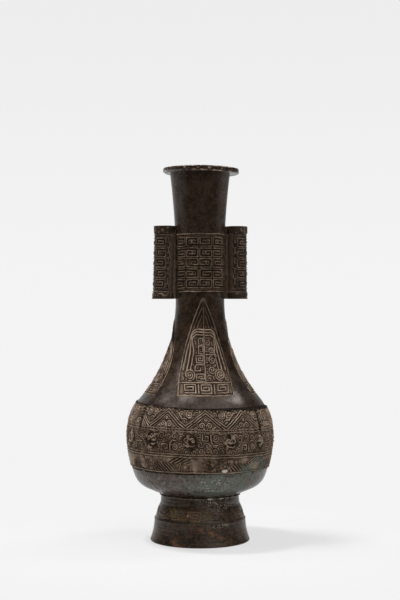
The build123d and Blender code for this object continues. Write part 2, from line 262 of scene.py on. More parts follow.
# %% Lines
LINE = 0.42                 # half width of a usual raised line
FULL, SLIM, THIN = 0.4, 0.38, 0.36  # half widths of finer ones
FLANK = (-0.4, 0.32)        # a line's round flank falls between these gaps
FURROW = (0.4, 0.75)        # beside a line the ground rises from a furrow between these gaps
FAR = 9.0                   # a gap at which no line is felt
LOTS = 16                   # side of the tables that chance places are drawn from
EYE_SHARE = 0.8             # how far in a squared spiral winds
CURL_CELL = 4.5             # side of the squares that small curls are scattered in
CURL_FROM, CURL_PLAY = 0.4, 0.2     # a small curl's eye lies this far into its square, and a little on
CURL_TURNS = 1.6


def wrapped(value, period):
    """Distance from the nearest whole multiple of the period, from minus to plus half of it."""
    return (value + period / 2) % period - period / 2


def path_distance(x, y, corners):
    """Distance to a broken line: the least distance to any of its straight runs.

    On one run the nearest place is the point's shadow along the run, kept between the run's two ends."""
    least = np.full(np.shape(x), np.inf)
    for (ax, ay), (bx, by) in zip(corners, corners[1:]):
        run_x, run_y = bx - ax, by - ay
        share = np.clip(((x - ax) * run_x + (y - ay) * run_y) / (run_x**2 + run_y**2), 0, 1)
        least = np.minimum(least, np.hypot(x - ax - share * run_x, y - ay - share * run_y))
    return least


def square_spiral(width, height, pitch):
    """Corners of a squared spiral that fills a rectangle, from its outer end in to its eye."""
    half_w, half_h = width / 2, height / 2
    corners = [(-half_w, -half_h)]
    inset = 0.0
    while inset < EYE_SHARE * min(half_w, half_h):
        right, top = half_w - inset, half_h - inset
        corners += [(right, -top), (right, top), (-right, top), (-right, min(pitch - top, top - pitch / 3))]
        inset += pitch
    return corners


def curl(x, y, radius, turns, start, hand):
    """Distance to a round spiral: at the turn t from its eye the line lies at t / turns of the radius.

    Turns are counted along the polar angle from start, and hand is 1 or -1 for the way that it winds."""
    pitch = radius / turns
    share = hand * (np.arctan2(y, x) - start) / math.tau % 1
    reach = np.hypot(x, y)
    turn = np.clip(np.round(reach / pitch - share), 0, np.floor(turns - share))
    return np.abs(reach - (turn + share) * pitch)


def small_curls(x, y, seed):
    """Distance to scattered small curls, one in each square of a net with its own place, start and hand."""
    column, row = np.floor(x / CURL_CELL), np.floor(y / CURL_CELL)
    lot = np.random.default_rng(seed).uniform(0, 1, (4, LOTS, LOTS))
    drawn = lot[:, row.astype(int) % LOTS, column.astype(int) % LOTS]
    from_x = x - (column + CURL_FROM + CURL_PLAY * drawn[0]) * CURL_CELL
    from_y = y - (row + CURL_FROM + CURL_PLAY * drawn[1]) * CURL_CELL
    hand = np.where(drawn[2] < 0.5, 1, -1)
    return curl(from_x, from_y, CURL_CELL / 2, CURL_TURNS, math.tau * drawn[3], hand)


def nearest(*gaps):
    """The gap to the nearest of several raised lines."""
    return np.minimum.reduce(np.broadcast_arrays(*gaps))


def drawing(x, y, curls, paths=()):
    """Distance to the nearest of several curls, each given by its eye and its form, and of several paths."""
    lines = [curl(x - eye_x, y - eye_y, *form) for eye_x, eye_y, *form in curls]
    return nearest(*lines, *(path_distance(x, y, corners) for corners in paths))


def only(where, gap):
    """The gap to a pattern that is kept to one part of the plate."""
    return np.where(where, gap, FAR)


def raised(gap, ground):
    """Relief from a gap: 1 on a line, 0 in the furrow beside it, and the ground's own level further away."""
    line = 1 - smooth(*FLANK, gap)
    return np.maximum(line, ground * smooth(*FURROW, gap))


print("a squared spiral has", len(square_spiral(8, 6, 1.8)), "corners")

# %% [markdown]
# Carving is one rule for every plate: the ridges reach the face of the CAD piece, or stand a little above it
# where the piece says so, the ground lies deeper, and at the border the face rolls down past the wall that
# the plate is let into. A deeper cut would lay the bare wall open, so the depths stay under a millimetre.

# %% The carving rule
EDGE_ROUND = 0.5            # usual width of the rolled border
BED = 0.7                   # how far a plate's back lies under the bare wall
GRIT, GRIT_CELL = 0.07, 0.8         # height and size of the fine unevenness of every carved face
GRIT_SEED = 7


def net(left, right, columns, low, high, rows):
    """Places across and up a plate, in whole numbers of the back's coarse steps."""
    return np.meshgrid(
        np.linspace(left, right, columns * COARSE + 1),
        np.linspace(low, high, rows * COARSE + 1),
    )


def carve(points, edge, relief, depth, border, edge_round=EDGE_ROUND, edge_tone=0.0):
    """Lift of a carved face: minus depth on the ground, 0 on the ridges, down to minus border at its edge.

    Edge is the distance inside the outline. The ridge mask that comes with the lift ends at edge_tone."""
    inside = smooth(0, edge_round, edge)
    grit = GRIT * (1 + grain(points, GRIT_CELL, GRIT_SEED))
    lift = -border + inside * (border - depth * (1 - relief) - grit)
    return lift, edge_tone + (relief - edge_tone) * inside


print("a border rolls over within", EDGE_ROUND, "mm")

# %% [markdown]
# The neck carries two panels of thunder pattern: five rows of squared spirals in columns about nine
# millimetres wide, turned to and fro from cell to cell, with a rail along the low and the high edge. One
# function draws a whole net of spirals, because the handles carry the same pattern.

# %% Neck panels
NECK_GRID = (34, 32)        # coarse steps across and up
NECK_ROWS = 5
NECK_MARGIN = 2.7           # from the panel's low and high edge to the spirals
SIDE_MARGIN = 1.0           # and from its sides
CELL_TURN = 31.5            # degrees round the neck that one spiral takes up
CELL_SHIFT = -9.4           # direction of the line between the two middle spirals
CELL_GAP = 1.3              # space between two spirals
SPIRAL_PITCH = 1.8          # from one turn of a spiral to the next
BOSS_SHARE = 0.45           # share of the cells with a small boss in the eye
BOSS_R, BOSS_X = 0.6, 0.3   # a boss's radius, and how far it lies from the cell's middle
RAIL_AT = 0.9               # a rail's middle line, from the edge
NECK_DEPTH = 0.7
NECK_LIFT = 0.15            # the ridges stand this much above the CAD face
NECK_PROUD = 0.7            # how far the CAD neck panels stand out
NECK_SUNK = 0.25            # how far the border dips under the wall
NECK_GROUND = 0.42          # level of the open ground
NECK_WORN, NECK_PATCH = 0.35, 2.6   # least height of a worn ridge, and the size of the worn patches
FINE_LINE = 0.33            # half width of the thin lines up here


def spiral_cells(across, up, cell_w, cell_h, seed):
    """Gap to squared spirals in a net of cells, mirrored from each cell to the next, some with a boss."""
    column = np.floor(across / cell_w)
    row = np.floor(up / cell_h)
    x = across - (column + 0.5) * cell_w
    y = up - (row + 0.5) * cell_h
    x = np.where((column + row) % 2 == 0, x, -x)
    y = np.where(row % 2 == 0, y, -y)
    spiral = path_distance(x, y, square_spiral(cell_w - CELL_GAP, cell_h - CELL_GAP, SPIRAL_PITCH))
    lot = np.random.default_rng(seed).uniform(0, 1, (LOTS, LOTS))
    boss = lot[row.astype(int) % LOTS, column.astype(int) % LOTS] < BOSS_SHARE
    return nearest(spiral - FINE_LINE, only(boss, np.hypot(x - BOSS_X, y) - BOSS_R))


def neck_panel(node, direction, seed):
    """A neck panel: a rail along its low and its high edge, and the net of spirals between them."""
    middle, half, low, high = reach_of(node, direction)
    turn, height = net(-half, half, NECK_GRID[0], low, high, NECK_GRID[1])
    skin = on_skin(neck_skin, middle + turn, height, 0)
    radius = neck_skin((low + high) / 2)
    across, up = by_hand(skin, radius * np.radians(turn), height, seed)
    reach = radius * math.radians(half)
    field_low, field_high = low + NECK_MARGIN, high - NECK_MARGIN
    cell_w, cell_h = radius * math.radians(CELL_TURN), (field_high - field_low) / NECK_ROWS
    cells = spiral_cells(across - radius * math.radians(CELL_SHIFT), up - field_low, cell_w, cell_h, seed)
    cells = only((up > field_low) & (up < field_high) & (np.abs(across) < reach - SIDE_MARGIN), cells)
    rails = np.abs(np.minimum(up - low, high - up) - RAIL_AT) - FULL
    relief = raised(nearest(cells, rails), NECK_GROUND) * worn(skin, NECK_WORN, NECK_PATCH, seed + 5)
    edge = np.minimum(np.minimum(height - low, high - height), reach - radius * np.radians(np.abs(turn)))
    lift, ridge = carve(skin, edge, relief, NECK_DEPTH, NECK_PROUD + NECK_SUNK)
    ridge = ridge * (0.7 + 0.3 * smooth(-0.2, 0.6, grain(skin, 1.0, seed + 8)))
    return make_plate(node, neck_skin, middle + turn, height, lift + NECK_LIFT, -NECK_PROUD - BED, ridge)


neck_panel("neck_panel_front", FRONT, 11)
neck_panel("neck_panel_rear", REAR, 23)

# %% [markdown]
# Four long blades hang over the shoulder, the front and rear ones from the neck panels, the side ones from
# just under the handles. Each is a tongue with bowed edges and a raised rim, a dark spike of converging
# ridges, three nested arches that run down the sides into round curls, small squared spirals on the left of
# the middle line and rounder scrolls on the right, and a foot row of three framed squares. The pattern is
# laid out on the long blade and squeezed in height for the short ones.

# %% Blade pattern
LONG_FOOT, LONG_TIP = 99.0, 163.0
TIP_HALF_W = 0.8
BLADE_BOW = 2.6             # how far the long edges bow outwards
BLADE_GROUND = 0.45
RIM_W, FOOT_RIM = 1.0, 1.1  # widths of the raised rim along the sides and at the foot
MID_TOP = 157.0             # where the middle line ends
MID_CLEAR = 0.9             # the pattern keeps this far from the middle line
SPIKE_LINES = (2.6, 4.6)    # distances of the spike's ridges from the edge
ARCHES = 3
ARCH_TOP = 141.8            # height of the outermost arch's level bar
BAR_STEP = 1.75             # from one bar down to the next
ARCH_INSET = 2.5            # from the blade's edge to the outermost arch
ARCH_PITCH = 2.3            # from one arch to the next along the sides
ARCH_SPREAD = (142, 124)    # the arches part between these heights
ARCH_LINE = 0.46
BEND_IN, BEND_STEP, BEND_DROP = 1.6, 0.7, 2.0   # an arch's bend: inwards, more for each arch, and down
SIDE_CURL = ((10.2, 112.6, 3.7, 2.7, 0.6, 1),)  # every curl: its eye's place, radius, turns, start and hand
SCROLLS = ((4.9, 128.6, 2.3, 1.9, 0.8, 1), (5.3, 121.8, 2.7, 1.9, 0.8, -1), (4.8, 115.6, 2.7, 1.9, 0.8, 1))
HOOK = [(0.9, 118.9), (5.6, 118.9), (6.6, 117.4), (6.6, 115.2), (3.0, 115.2), (3.0, 116.9)]
LEDGE = [(1.4, 125.4), (7.6, 125.4), (8.4, 124.4)]
SQUARED = ((134.2, 3.8), (128.6, 5.2), (122.4, 4.8), (110.9, 4.4))  # height and size of the squared spirals
SQUARED_MIN, SQUARED_MAX, SQUARED_PITCH = 2.6, 4.8, 1.5     # their widths and pitch
FOOT_LINE = 107.7           # height of the line over the foot row
SQUARES_X, BARS_X = (-10.5, 0.2, 11.4), (-5.1, 5.7)
SQUARE_W, SQUARE_H, SQUARE_Z, SQUARE_PITCH = 6.8, 5.2, 103.8, 1.6
BAR_HALF = 2.8              # half height of the bars between the squares
FILL_GAP, FILL_LINE, FILL_SEED = 0.75, 0.34, 5  # small curls fill what is this far from every line
SPIKE_LOSS, RIGHT_LOSS = 0.55, 0.15     # the spike and the right half are rubbed lower


def blade_half(share, foot_half):
    """Half width of a blade at a share of its height: a straight taper, bowed out by a parabola."""
    return foot_half + (TIP_HALF_W - foot_half) * share + 4 * BLADE_BOW * share * (1 - share)


def arches(side, z, half_at):
    """Gap to nested arches, each a level bar, a bend, and a run that keeps its distance from the edge."""
    gaps = []
    curl_z, curl_r = SIDE_CURL[0][1:3]
    for number in range(ARCHES):
        bar = ARCH_TOP - BAR_STEP * number
        levels = np.linspace(bar - BEND_DROP, curl_z + 0.8 * curl_r, 7)
        spread = ARCH_PITCH * number * smooth(*ARCH_SPREAD, levels)
        runs = zip(half_at(levels) - ARCH_INSET - spread, levels)
        bend = (half_at(bar) - ARCH_INSET - BEND_IN - BEND_STEP * number, bar)
        gaps.append(path_distance(side, z, [(MID_CLEAR, bar), bend, *runs]) - ARCH_LINE)
    return nearest(*gaps)


def blade_relief(x, z, half_at):
    """The raised lines of a blade, from its half width at each height."""
    side = np.abs(x)
    taper = half_at(z - 0.5) - half_at(z + 0.5)
    inward = (half_at(z) - side) / np.sqrt(1 + taper**2)
    bars = nearest(*(np.abs(x - at_x) for at_x in BARS_X)) - FULL
    gaps = [
        inward - RIM_W,
        z - LONG_FOOT - FOOT_RIM,
        only(inward > 1.5 * RIM_W, np.abs(z - FOOT_LINE) - LINE),
        only((z > FOOT_LINE) & (z < MID_TOP), side - SLIM),
        only(np.abs(z - SQUARE_Z) < BAR_HALF, bars),
        arches(side, z, half_at),
        drawing(side, z, SIDE_CURL) - LINE,
        drawing(x, z, SCROLLS) - FULL,
        path_distance(-x, z, HOOK) - SLIM,
        path_distance(x, z, LEDGE) - SLIM,
    ]
    spike = (z > ARCH_TOP + 1.0) & (side > MID_CLEAR)
    gaps += [only(spike, np.abs(inward - away) - THIN) for away in SPIKE_LINES]
    for level, tall in SQUARED:
        wide = half_at(level) - ARCH_INSET - 2.4 * ARCHES - 0.8
        wide = max(min(wide, SQUARED_MAX), SQUARED_MIN)
        corners = square_spiral(wide, tall, SQUARED_PITCH)
        gaps.append(only(x < 0, path_distance(-x - MID_CLEAR - wide / 2, z - level, corners) - THIN))
    corners = square_spiral(SQUARE_W, SQUARE_H, SQUARE_PITCH)
    gaps += [path_distance(x - at_x, z - SQUARE_Z, corners) - FULL for at_x in SQUARES_X]
    drawn = nearest(*gaps)
    field = (drawn > FILL_GAP) & (inward > SPIKE_LINES[0]) & (z > FOOT_LINE + 0.8) & (z < ARCH_TOP - 6)
    filled = nearest(drawn, only(field, small_curls(x, z, FILL_SEED) - FILL_LINE))
    subdued = 1 - SPIKE_LOSS * smooth(ARCH_TOP, ARCH_TOP + 3, z) - RIGHT_LOSS * smooth(0, 6, x)
    return raised(filled, BLADE_GROUND) * subdued


print("blade half widths:", [round(float(blade_half(s, 18.6)), 1) for s in (0, 0.25, 0.5, 0.75, 1)])

# %% [markdown]
# A blade's outline is seen square on, so a point at the distance x from its middle line lies in the direction
# asin(x / radius). The plate's grid follows the bowed outline, with the same number of steps at every height.
# The blades at the sides are worn more than the front and the rear one.

# %% Blades
BLADE_GRID = (22, 46)       # coarse steps across and up
BLADE_DEPTH = 0.9
BLADE_LIFT = 0.25           # the ridges stand this much above the CAD face
BLADE_PROUD = 0.8           # how far the CAD blades stand out
BLADE_SUNK = 0.35           # how far the border dips under the wall
BLADE_ROUND = 0.9           # the blades' edges are broad and rubbed
# The blades' borders stay light at their edge: rubbed wear, and a painted highlight where the rim catches
# light.
BLADE_EDGE_WEAR_AND_HIGHLIGHT = 0.6
BLADE_PATCH = 3.0           # size of the worn patches, also on the belly
TIP_SINK = 0.2              # how steeply the tip rises out of the wall
BLADE_SPREAD = 0.8          # the soft border reaches this far past the bed on each side


def blade_panel(node, direction, left_over, seed):
    """A blade: the grid runs from edge to edge at every height, and the pattern is squeezed to its height."""
    low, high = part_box(node)
    foot_z, tip_z = low.z / MM, high.z / MM
    foot_half = (high.x - low.x if direction in (FRONT, REAR) else high.y - low.y) / MM / 2 + BLADE_SPREAD

    def half_at(z):
        return blade_half((z - LONG_FOOT) / (LONG_TIP - LONG_FOOT), foot_half)

    across, share = net(-1, 1, BLADE_GRID[0], 0, 1, BLADE_GRID[1])
    height = foot_z + (tip_z - foot_z) * share
    half = blade_half(share, foot_half)
    x = across * half
    angle = direction + np.degrees(np.arcsin(x / (blade_skin(height) + 0.1)))
    skin = on_skin(blade_skin, angle, height, 0)
    cut_x, cut_z = by_hand(skin, x, LONG_FOOT + (LONG_TIP - LONG_FOOT) * share, seed)
    relief = blade_relief(cut_x, cut_z, half_at) * worn(skin, left_over, BLADE_PATCH, seed + 5)
    edge = np.minimum(np.minimum(height - foot_z, TIP_SINK * (tip_z - height)), half - np.abs(x))
    border = BLADE_PROUD + BLADE_SUNK
    lift, ridge = carve(skin, edge, relief, BLADE_DEPTH, border, BLADE_ROUND, BLADE_EDGE_WEAR_AND_HIGHLIGHT)
    return make_plate(node, blade_skin, angle, height, lift + BLADE_LIFT, -BLADE_PROUD - BED, ridge)


blade_panel("blade_panel_front", FRONT, 0.6, 31)
blade_panel("blade_panel_right", RIGHT, 0.3, 37)
blade_panel("blade_panel_rear", REAR, 0.6, 41)
blade_panel("blade_panel_left", LEFT, 0.3, 43)

# %% [markdown]
# The belly band is four plates with three registers. The upper one is a zigzag of double lines with curls in
# its triangles. The middle one is a row of hollow round medallions, each worn down to two small curls over a
# bent bar, with hooks and small curls between them. The lower one is rubbed nearly smooth, with patches of
# slanting strokes and shallow leaves. Double lines with a dark cut between them part the registers.

# %% Belly pattern
PERIOD = 27.4               # length of one zigzag along the belly
APEX_AT, MEDAL_AT = 3.9, -6.8       # the middle apex and the middle medallion, from the panel's middle line
APEX_Z, TROUGH_Z = 90.3, 79.6
PARTING_Z = (77.9, 61.6)    # heights of the cuts between the registers
BAND_LOW, BAND_HIGH = 50.5, 91.7
DOUBLE_AT = 0.8             # from a cut to the two lines beside it
UPPER_GROUND, MIDDLE_GROUND, LOWER_GROUND = 0.7, 0.66, 0.6
ARM_AT = 0.75               # the zigzag's double lines, from its middle line
UNDER_AT, UNDER_LINE = 2.3, 0.26    # the thin line under it, and its half width
ABOVE_CURLS = ((-2.4, 88.0, 2.6, 2.1, 0.4, 1), (3.4, 88.6, 2.0, 1.6, 2.0, -1))
ABOVE_PATHS = (
    [(-0.6, 84.6), (1.0, 85.4), (2.6, 84.9), (3.6, 86.1)],
    [(5.9, 88.2), (6.8, 89.8), (8.1, 89.4)],
    [(-8.0, 89.7), (-6.2, 89.5), (-5.6, 87.6)],
)
BELOW_CURLS = ((-2.3, 81.5, 2.1, 1.6, math.pi, -1), (2.6, 81.3, 1.9, 1.5, 0.0, 1))
BELOW_RING = (0.2, 85.2, 0.7)       # the small ring over them: its place and radius
MEDAL_Z, MEDAL_R = 70.2, 5.6
DISC_CURL = ((2.0, 1.0, 2.0, 1.4, 0.5, 1),)
DISC_BAR = [(0.0, -2.4), (1.6, -2.9), (3.0, -1.9)]
MIDDLE_LEVEL = 0.8          # the middle register is rubbed lower than the upper one
HOOK_CURLS = ((3.6, 3.4, 2.4, 1.8, 2.4, -1),)
HOOK_PATHS = (
    [(-5.4, 5.6), (-5.4, 1.4), (-1.6, 1.4), (-1.6, 4.2), (-3.6, 4.2)],
    [(0.4, 6.0), (0.4, 1.0), (2.0, -1.2), (4.6, -1.2)],
)
HOOK_LOW = -1.9             # under this level small curls take the hooks' place
LEAF_CELL, CALM_CELL = 4.0, 8.0     # sizes of the shallow leaves and of the stretches without lines
CROOKED_CELLS, CROOKED_LINE = (2.6, 1.3), 0.28  # bends and half width of the crooked lines
STROKE_STEP = 1.75          # from one slanting stroke to the next
PATCH_HALF = (7.2, 2.5)     # half length and half height of a patch of strokes
STROKES = (                 # each patch's middle, the strokes' direction, and their height
    ((-12.6, 58.8), (0.5, -0.87), 0.7),
    ((-26.0, 54.0), (0.7, 0.71), 0.6),
)


def zigzag(s, z, seed):
    """Gap to the double zigzag, the thin line under it, and the curls in its triangles."""
    from_apex = wrapped(s - APEX_AT, PERIOD)
    slope = (APEX_Z - TROUGH_Z) / (PERIOD / 2)
    over = (z - APEX_Z + slope * np.abs(from_apex)) / math.sqrt(1 + slope**2)
    arms = nearest(np.abs(np.abs(over) - ARM_AT) - THIN, np.abs(over + UNDER_AT) - UNDER_LINE)
    even = np.floor((s - APEX_AT) / PERIOD) % 2 == 0
    from_trough = wrapped(s - APEX_AT - PERIOD / 2, PERIOD)
    above = drawing(np.where(even, from_trough, -from_trough), z, ABOVE_CURLS, ABOVE_PATHS)
    y = np.where(even, from_apex, -from_apex)
    ring = np.abs(np.hypot(y - BELOW_RING[0], z - BELOW_RING[1]) - BELOW_RING[2])
    below = nearest(drawing(y, z, BELOW_CURLS), ring)
    inner = nearest(only(over > 1.7, above), only(over < -3.1, below))
    drawn = nearest(arms, inner - FULL)
    clear = (drawn > 0.8) & (np.abs(over + 0.7) > 2.4)
    return nearest(drawn, only(clear, small_curls(s, z, seed) - THIN))


def medallion_disc(points, x, y, around, seed):
    """Relief of a hollow worn disc: a mask of two small curls over a bent bar, and a few lumps."""
    side = np.abs(x)
    mask = nearest(drawing(side, y, DISC_CURL) - LINE, path_distance(side, y, DISC_BAR) - FULL)
    lumps = smooth(0.15, 0.55, grain(points, 1.7, seed + 1))
    left_over = np.clip(0.7 + 0.7 * grain(points, 2.2, seed + 2), 0, 1)
    disc = np.maximum(1.25 * raised(mask, 0.2) * left_over, 0.7 * lumps)
    return disc + (around - disc) * smooth(MEDAL_R - 0.6, MEDAL_R + 0.5, np.hypot(x, y))


def medallions(points, s, z, seed):
    """The middle register: medallions, squared hooks and a curl half way between them, small curls around."""
    x = wrapped(s - MEDAL_AT, PERIOD) + 0.7 * grain(points, 4.0, seed + 1)
    y = z - MEDAL_Z + 0.7 * grain(points, 4.0, seed + 2)
    gap = wrapped(s - MEDAL_AT - PERIOD / 2, PERIOD)
    flip = np.where(np.floor((s - MEDAL_AT) / PERIOD) % 2 == 0, 1, -1)
    up = flip * (z - MEDAL_Z)
    low_curls = only(up < HOOK_LOW, small_curls(s + 1.3, z + 0.6, seed))
    drawn = nearest(drawing(gap, up, HOOK_CURLS, HOOK_PATHS), low_curls) - LINE
    filled = nearest(drawn, only(drawn > 1.0, small_curls(s + 2.2, z + 1.4, seed + 1) - THIN))
    around = raised(filled, MIDDLE_GROUND) * (0.75 + 0.25 * smooth(-0.4, 0.3, grain(points, 4.5, seed + 6)))
    return medallion_disc(points, x, y, MIDDLE_LEVEL * around, seed + 4)


def feathers(points, s, z, seed):
    """The lower register: a smooth worn ground with shallow leaves, crooked lines and patches of strokes."""
    leaf = smooth(0.2, 0.8, grain(points * np.array([0.6, 0.6, 1.0]), LEAF_CELL, seed + 1))
    some = smooth(-0.45, 0.1, grain(points, CALM_CELL, seed + 2))
    field = grain(points, CROOKED_CELLS[0], seed + 3) + 0.4 * grain(points, CROOKED_CELLS[1], seed + 4)
    crooked = raised(2.2 * np.abs(field) - CROOKED_LINE, 0.85)
    ground = LOWER_GROUND * (1 - 0.25 * leaf) * (1 - 0.7 * some * (1 - crooked))
    for middle, lean, level in STROKES:
        x, y = wrapped(s - middle[0], 2 * PERIOD), z - middle[1]
        away = np.maximum(np.abs(x - 0.8 * y) / PATCH_HALF[0], np.abs(y) / PATCH_HALF[1])
        strokes = raised(np.abs(wrapped(lean[0] * s + lean[1] * z, STROKE_STEP)) - LINE, 0.0)
        ground = ground + smooth(1.15, 0.85, away) * (level * strokes - ground)
    return ground


def belly_relief(points, s, z, seed):
    """The three registers, the double lines that part them, and the lines along the band's borders."""
    upper_cut, lower_cut = (z - level for level in PARTING_Z)
    upper_lines, lower_lines = (np.abs(np.abs(cut) - DOUBLE_AT) - FULL for cut in (upper_cut, lower_cut))
    border = np.abs(z - BAND_HIGH) - LINE
    high = raised(nearest(zigzag(s, z, seed), upper_lines, border), UPPER_GROUND)
    high = high * (1 - 0.35 * smooth(1.6, 1.2, np.abs(upper_cut)))
    middle = medallions(points, s, z, seed + 3)
    low = feathers(points, s, z, seed + 6)
    relief = np.where(upper_cut > -1.2, high, np.where(lower_cut > 0, middle, low))
    faint = nearest(lower_lines, np.abs(z - BAND_LOW) - LINE)
    return np.where(faint < 0.6, 0.4 * relief + 0.5 * raised(faint, 0.4), relief)


print("medallions round the belly:", round(math.tau * 50 / PERIOD, 1))

# %% [markdown]
# The band was set a little askew, lower on the right, so its registers and edges follow a tilted plane. In
# its upper half a bare strip parts two plates. Lower down the strips were filled and rubbed smooth, so there
# each plate is widened until it meets the next one.

# %% Belly panels
BELLY_ROWS = 27             # coarse steps up
BELLY_DEPTH = 0.95
BELLY_PROUD = 1.1           # how far the CAD belly panels stand out
BELLY_SUNK = 0.15           # how far the border dips under the wall
BELLY_RIM = 2.8             # how far the carved plate may pass the bed's low and high edge
BELLY_TOP_RISE = 0.8        # the carved band ends this much above its bed
TILT_LOW, TILT_HIGH = 0.6, 1.7      # how far the band's edges drop at the right limb and rise at the left
STRIP_HALF = 1.6            # half the width of a bare strip
STRIP_HELD = 0.45           # share of it that the plates take up in their upper half
FILLED_FROM, FILLED_TO = 80, 72     # the strips are filled between these heights
SIDE_ROUND = 0.9            # width of the soft roll beside a strip
CRACK_W, CRACK_RUN = 0.9, 8.0       # half width of the dark cracks at the sides, and how they run out
WAVY, WAVY_CELL = 0.25, 9.0         # height and length of the waves in the outline


def belly_panel(node, direction, columns, left_over, seed, crack_at=0.0, crack_low=BAND_HIGH):
    """A belly panel with its registers on the tilted plane, a slightly wavy outline and soft ends.

    A dark crack may run down from its upper edge at a given direction to a given height."""
    middle, half, low, high = reach_of(node, direction)
    share, height = net(-1, 1, columns, low - BELLY_RIM, high + BELLY_RIM, BELLY_ROWS)
    radius = belly_skin((low + high) / 2)
    tilt = TILT_LOW + (TILT_HIGH - TILT_LOW) * (height - low) / (high - low)
    level = height + tilt * np.sin(np.radians(middle + share * half - CAMERA_TURN))
    filled = smooth(FILLED_FROM, FILLED_TO, level)
    reach = radius * math.radians(half) + STRIP_HALF * (STRIP_HELD + (1 - STRIP_HELD) * filled)
    across = share * reach
    angle = middle + np.degrees(across / radius)
    skin = on_skin(belly_skin, angle, height, 0)
    s, z = by_hand(skin, across, level, seed)
    relief = belly_relief(skin, s, z, seed + 20) * worn(skin, left_over, BLADE_PATCH, seed + 5)
    wavy = WAVY * grain(skin, WAVY_CELL, seed + 9)
    from_top = high + BELLY_TOP_RISE - level + wavy
    border = BELLY_PROUD + BELLY_SUNK
    lift, ridge = carve(skin, np.minimum(level - low + wavy, from_top), relief, BELLY_DEPTH, border)
    ends = (1 - smooth(0, SIDE_ROUND, reach - np.abs(across))) * (1 - filled)
    crack = CRACK_W * smooth(crack_low, crack_low + CRACK_RUN, level)
    cracked = 1 - smooth(0.5 * crack, crack + 0.01, np.abs(radius * np.radians(angle - crack_at)))
    lift = np.maximum(lift - ends - cracked, -border)
    # Near the band's top edge the ridge mask is cut to 0, so the dark colour paints a shadow line under the
    # shoulder.
    ridge = ridge * smooth(0.7, 1.5, from_top) * (1 - 0.5 * ends) * (1 - cracked)
    return make_plate(node, belly_skin, angle, height, lift, -BELLY_PROUD - BED, ridge)


belly_panel("belly_panel_front", FRONT, 46, 0.6, 51)
# The right panel keeps more of its ridges. Their extra tan is painted light on the band's right limb.
belly_panel("belly_panel_right", RIGHT, 34, 0.9, 57, 62.0, 78.0)
belly_panel("belly_panel_rear", REAR, 46, 0.6, 61)
belly_panel("belly_panel_left", LEFT, 34, 0.6, 67, 278.6, 62.0)

# %% [markdown]
# The foot's frieze is a low carved ring on a cone, worn almost smooth, so only a few framed squares can still
# be read. Its upper edge runs out into the collar. It closes on itself, so it is a grid that wraps both ways.

# %% Foot frieze
FRIEZE_CELLS = 14
FRIEZE_TURN = 13.5          # degrees that the first square is turned to the left
FRIEZE_DEPTH = 0.45
FRIEZE_T = 0.9              # thickness of the CAD ring
FRIEZE_LEAST = 0.06         # and of the carved one where it runs out
FRIEZE_FADE, FADE_DEPTH = 3.0, 0.8      # width and depth of the run-out at the upper edge
FRIEZE_ROUND, ROUND_DEPTH = 0.7, 0.3    # width and depth of the rolled lower edge
FRIEZE_GROUND = 0.2
FRIEZE_W, FRIEZE_H, FRIEZE_PITCH = 6.4, 5.2, 1.6    # size and pitch of a framed square
FRIEZE_HOOK = [(0.3, 2.4), (2.1, 2.4), (2.1, -0.6), (1.0, -0.6)]
FRIEZE_ROWS, FRIEZE_COLUMNS = 49, 800


def full_turn(columns):
    """Directions of the columns of a ring, in degrees."""
    return np.arange(columns) * 360 / columns


def frieze_gap(s, z, cell, low, high):
    """Gap to framed squares in every cell and to an S of two hooks between them."""
    y = z - (low + high) / 2
    square = path_distance(wrapped(s, cell), y, square_spiral(FRIEZE_W, FRIEZE_H, FRIEZE_PITCH))
    gap = wrapped(s - cell / 2, cell)
    hook = path_distance(np.abs(gap), np.where(gap > 0, 1, -1) * y, FRIEZE_HOOK)
    return nearest(square, hook) - LINE


def foot_frieze(node, seed):
    """The ring's section runs up the carved face and down a plain back. Each point turns round the axis."""
    low, high = (corner.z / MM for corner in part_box(node))
    point = corners_of(node).reshape(-1, 3)
    reach = np.hypot(point[:, 0], point[:, 1])
    foot_r, top_r = reach.max(), reach[point[:, 2] > high - 0.1].max()
    turn, share = np.meshgrid(full_turn(FRIEZE_COLUMNS), np.linspace(0, 1, FRIEZE_ROWS))
    height = low + (high - low) * share
    radius = foot_r + (top_r - foot_r) * share
    flat = turned_points(radius, turn, height)
    girth = math.tau * (foot_r + top_r) / 2
    s, z = by_hand(flat, girth * (turn + FRIEZE_TURN) / 360, height, seed)
    left_over = smooth(-0.4, 0.4, grain(flat, 8.0, seed + 5))
    relief = raised(frieze_gap(s, z, girth / FRIEZE_CELLS, low, high), FRIEZE_GROUND)
    relief = FRIEZE_GROUND + (relief - FRIEZE_GROUND) * left_over
    rolled = smooth(0, FRIEZE_ROUND, height - low)
    fade = smooth(0, FRIEZE_FADE, high - height)
    lift = -ROUND_DEPTH * (1 - rolled) - FADE_DEPTH * (1 - fade) - FRIEZE_DEPTH * rolled * fade * (1 - relief)
    outer = turned_points(radius + np.maximum(lift, FRIEZE_LEAST - FRIEZE_T), turn, height)
    inner = turned_points(radius[[-1, 0]] - FRIEZE_T, turn[:2], height[[-1, 0]])
    points = np.concatenate([outer, inner])
    ridge = np.concatenate([relief * (0.6 + 0.4 * fade), np.zeros(inner.shape[:2])])
    faces = ring_faces(FRIEZE_ROWS + 2, FRIEZE_COLUMNS)
    return make_piece(f"{node}_carved", points, faces, "bronze_foot", node, ridge)


foot_frieze("foot_frieze", 71)

# %% [markdown]
# A tube handle is a short pipe with plain rims and a carved field that turns its spirals outwards. Its skin
# is one profile carried round the tube's axis: up the outside, over the rim, down the bore and back. A web of
# the tube's full height joins it to the neck, so both are closed bodies of one piece. The right handle is
# worn more than the left one.

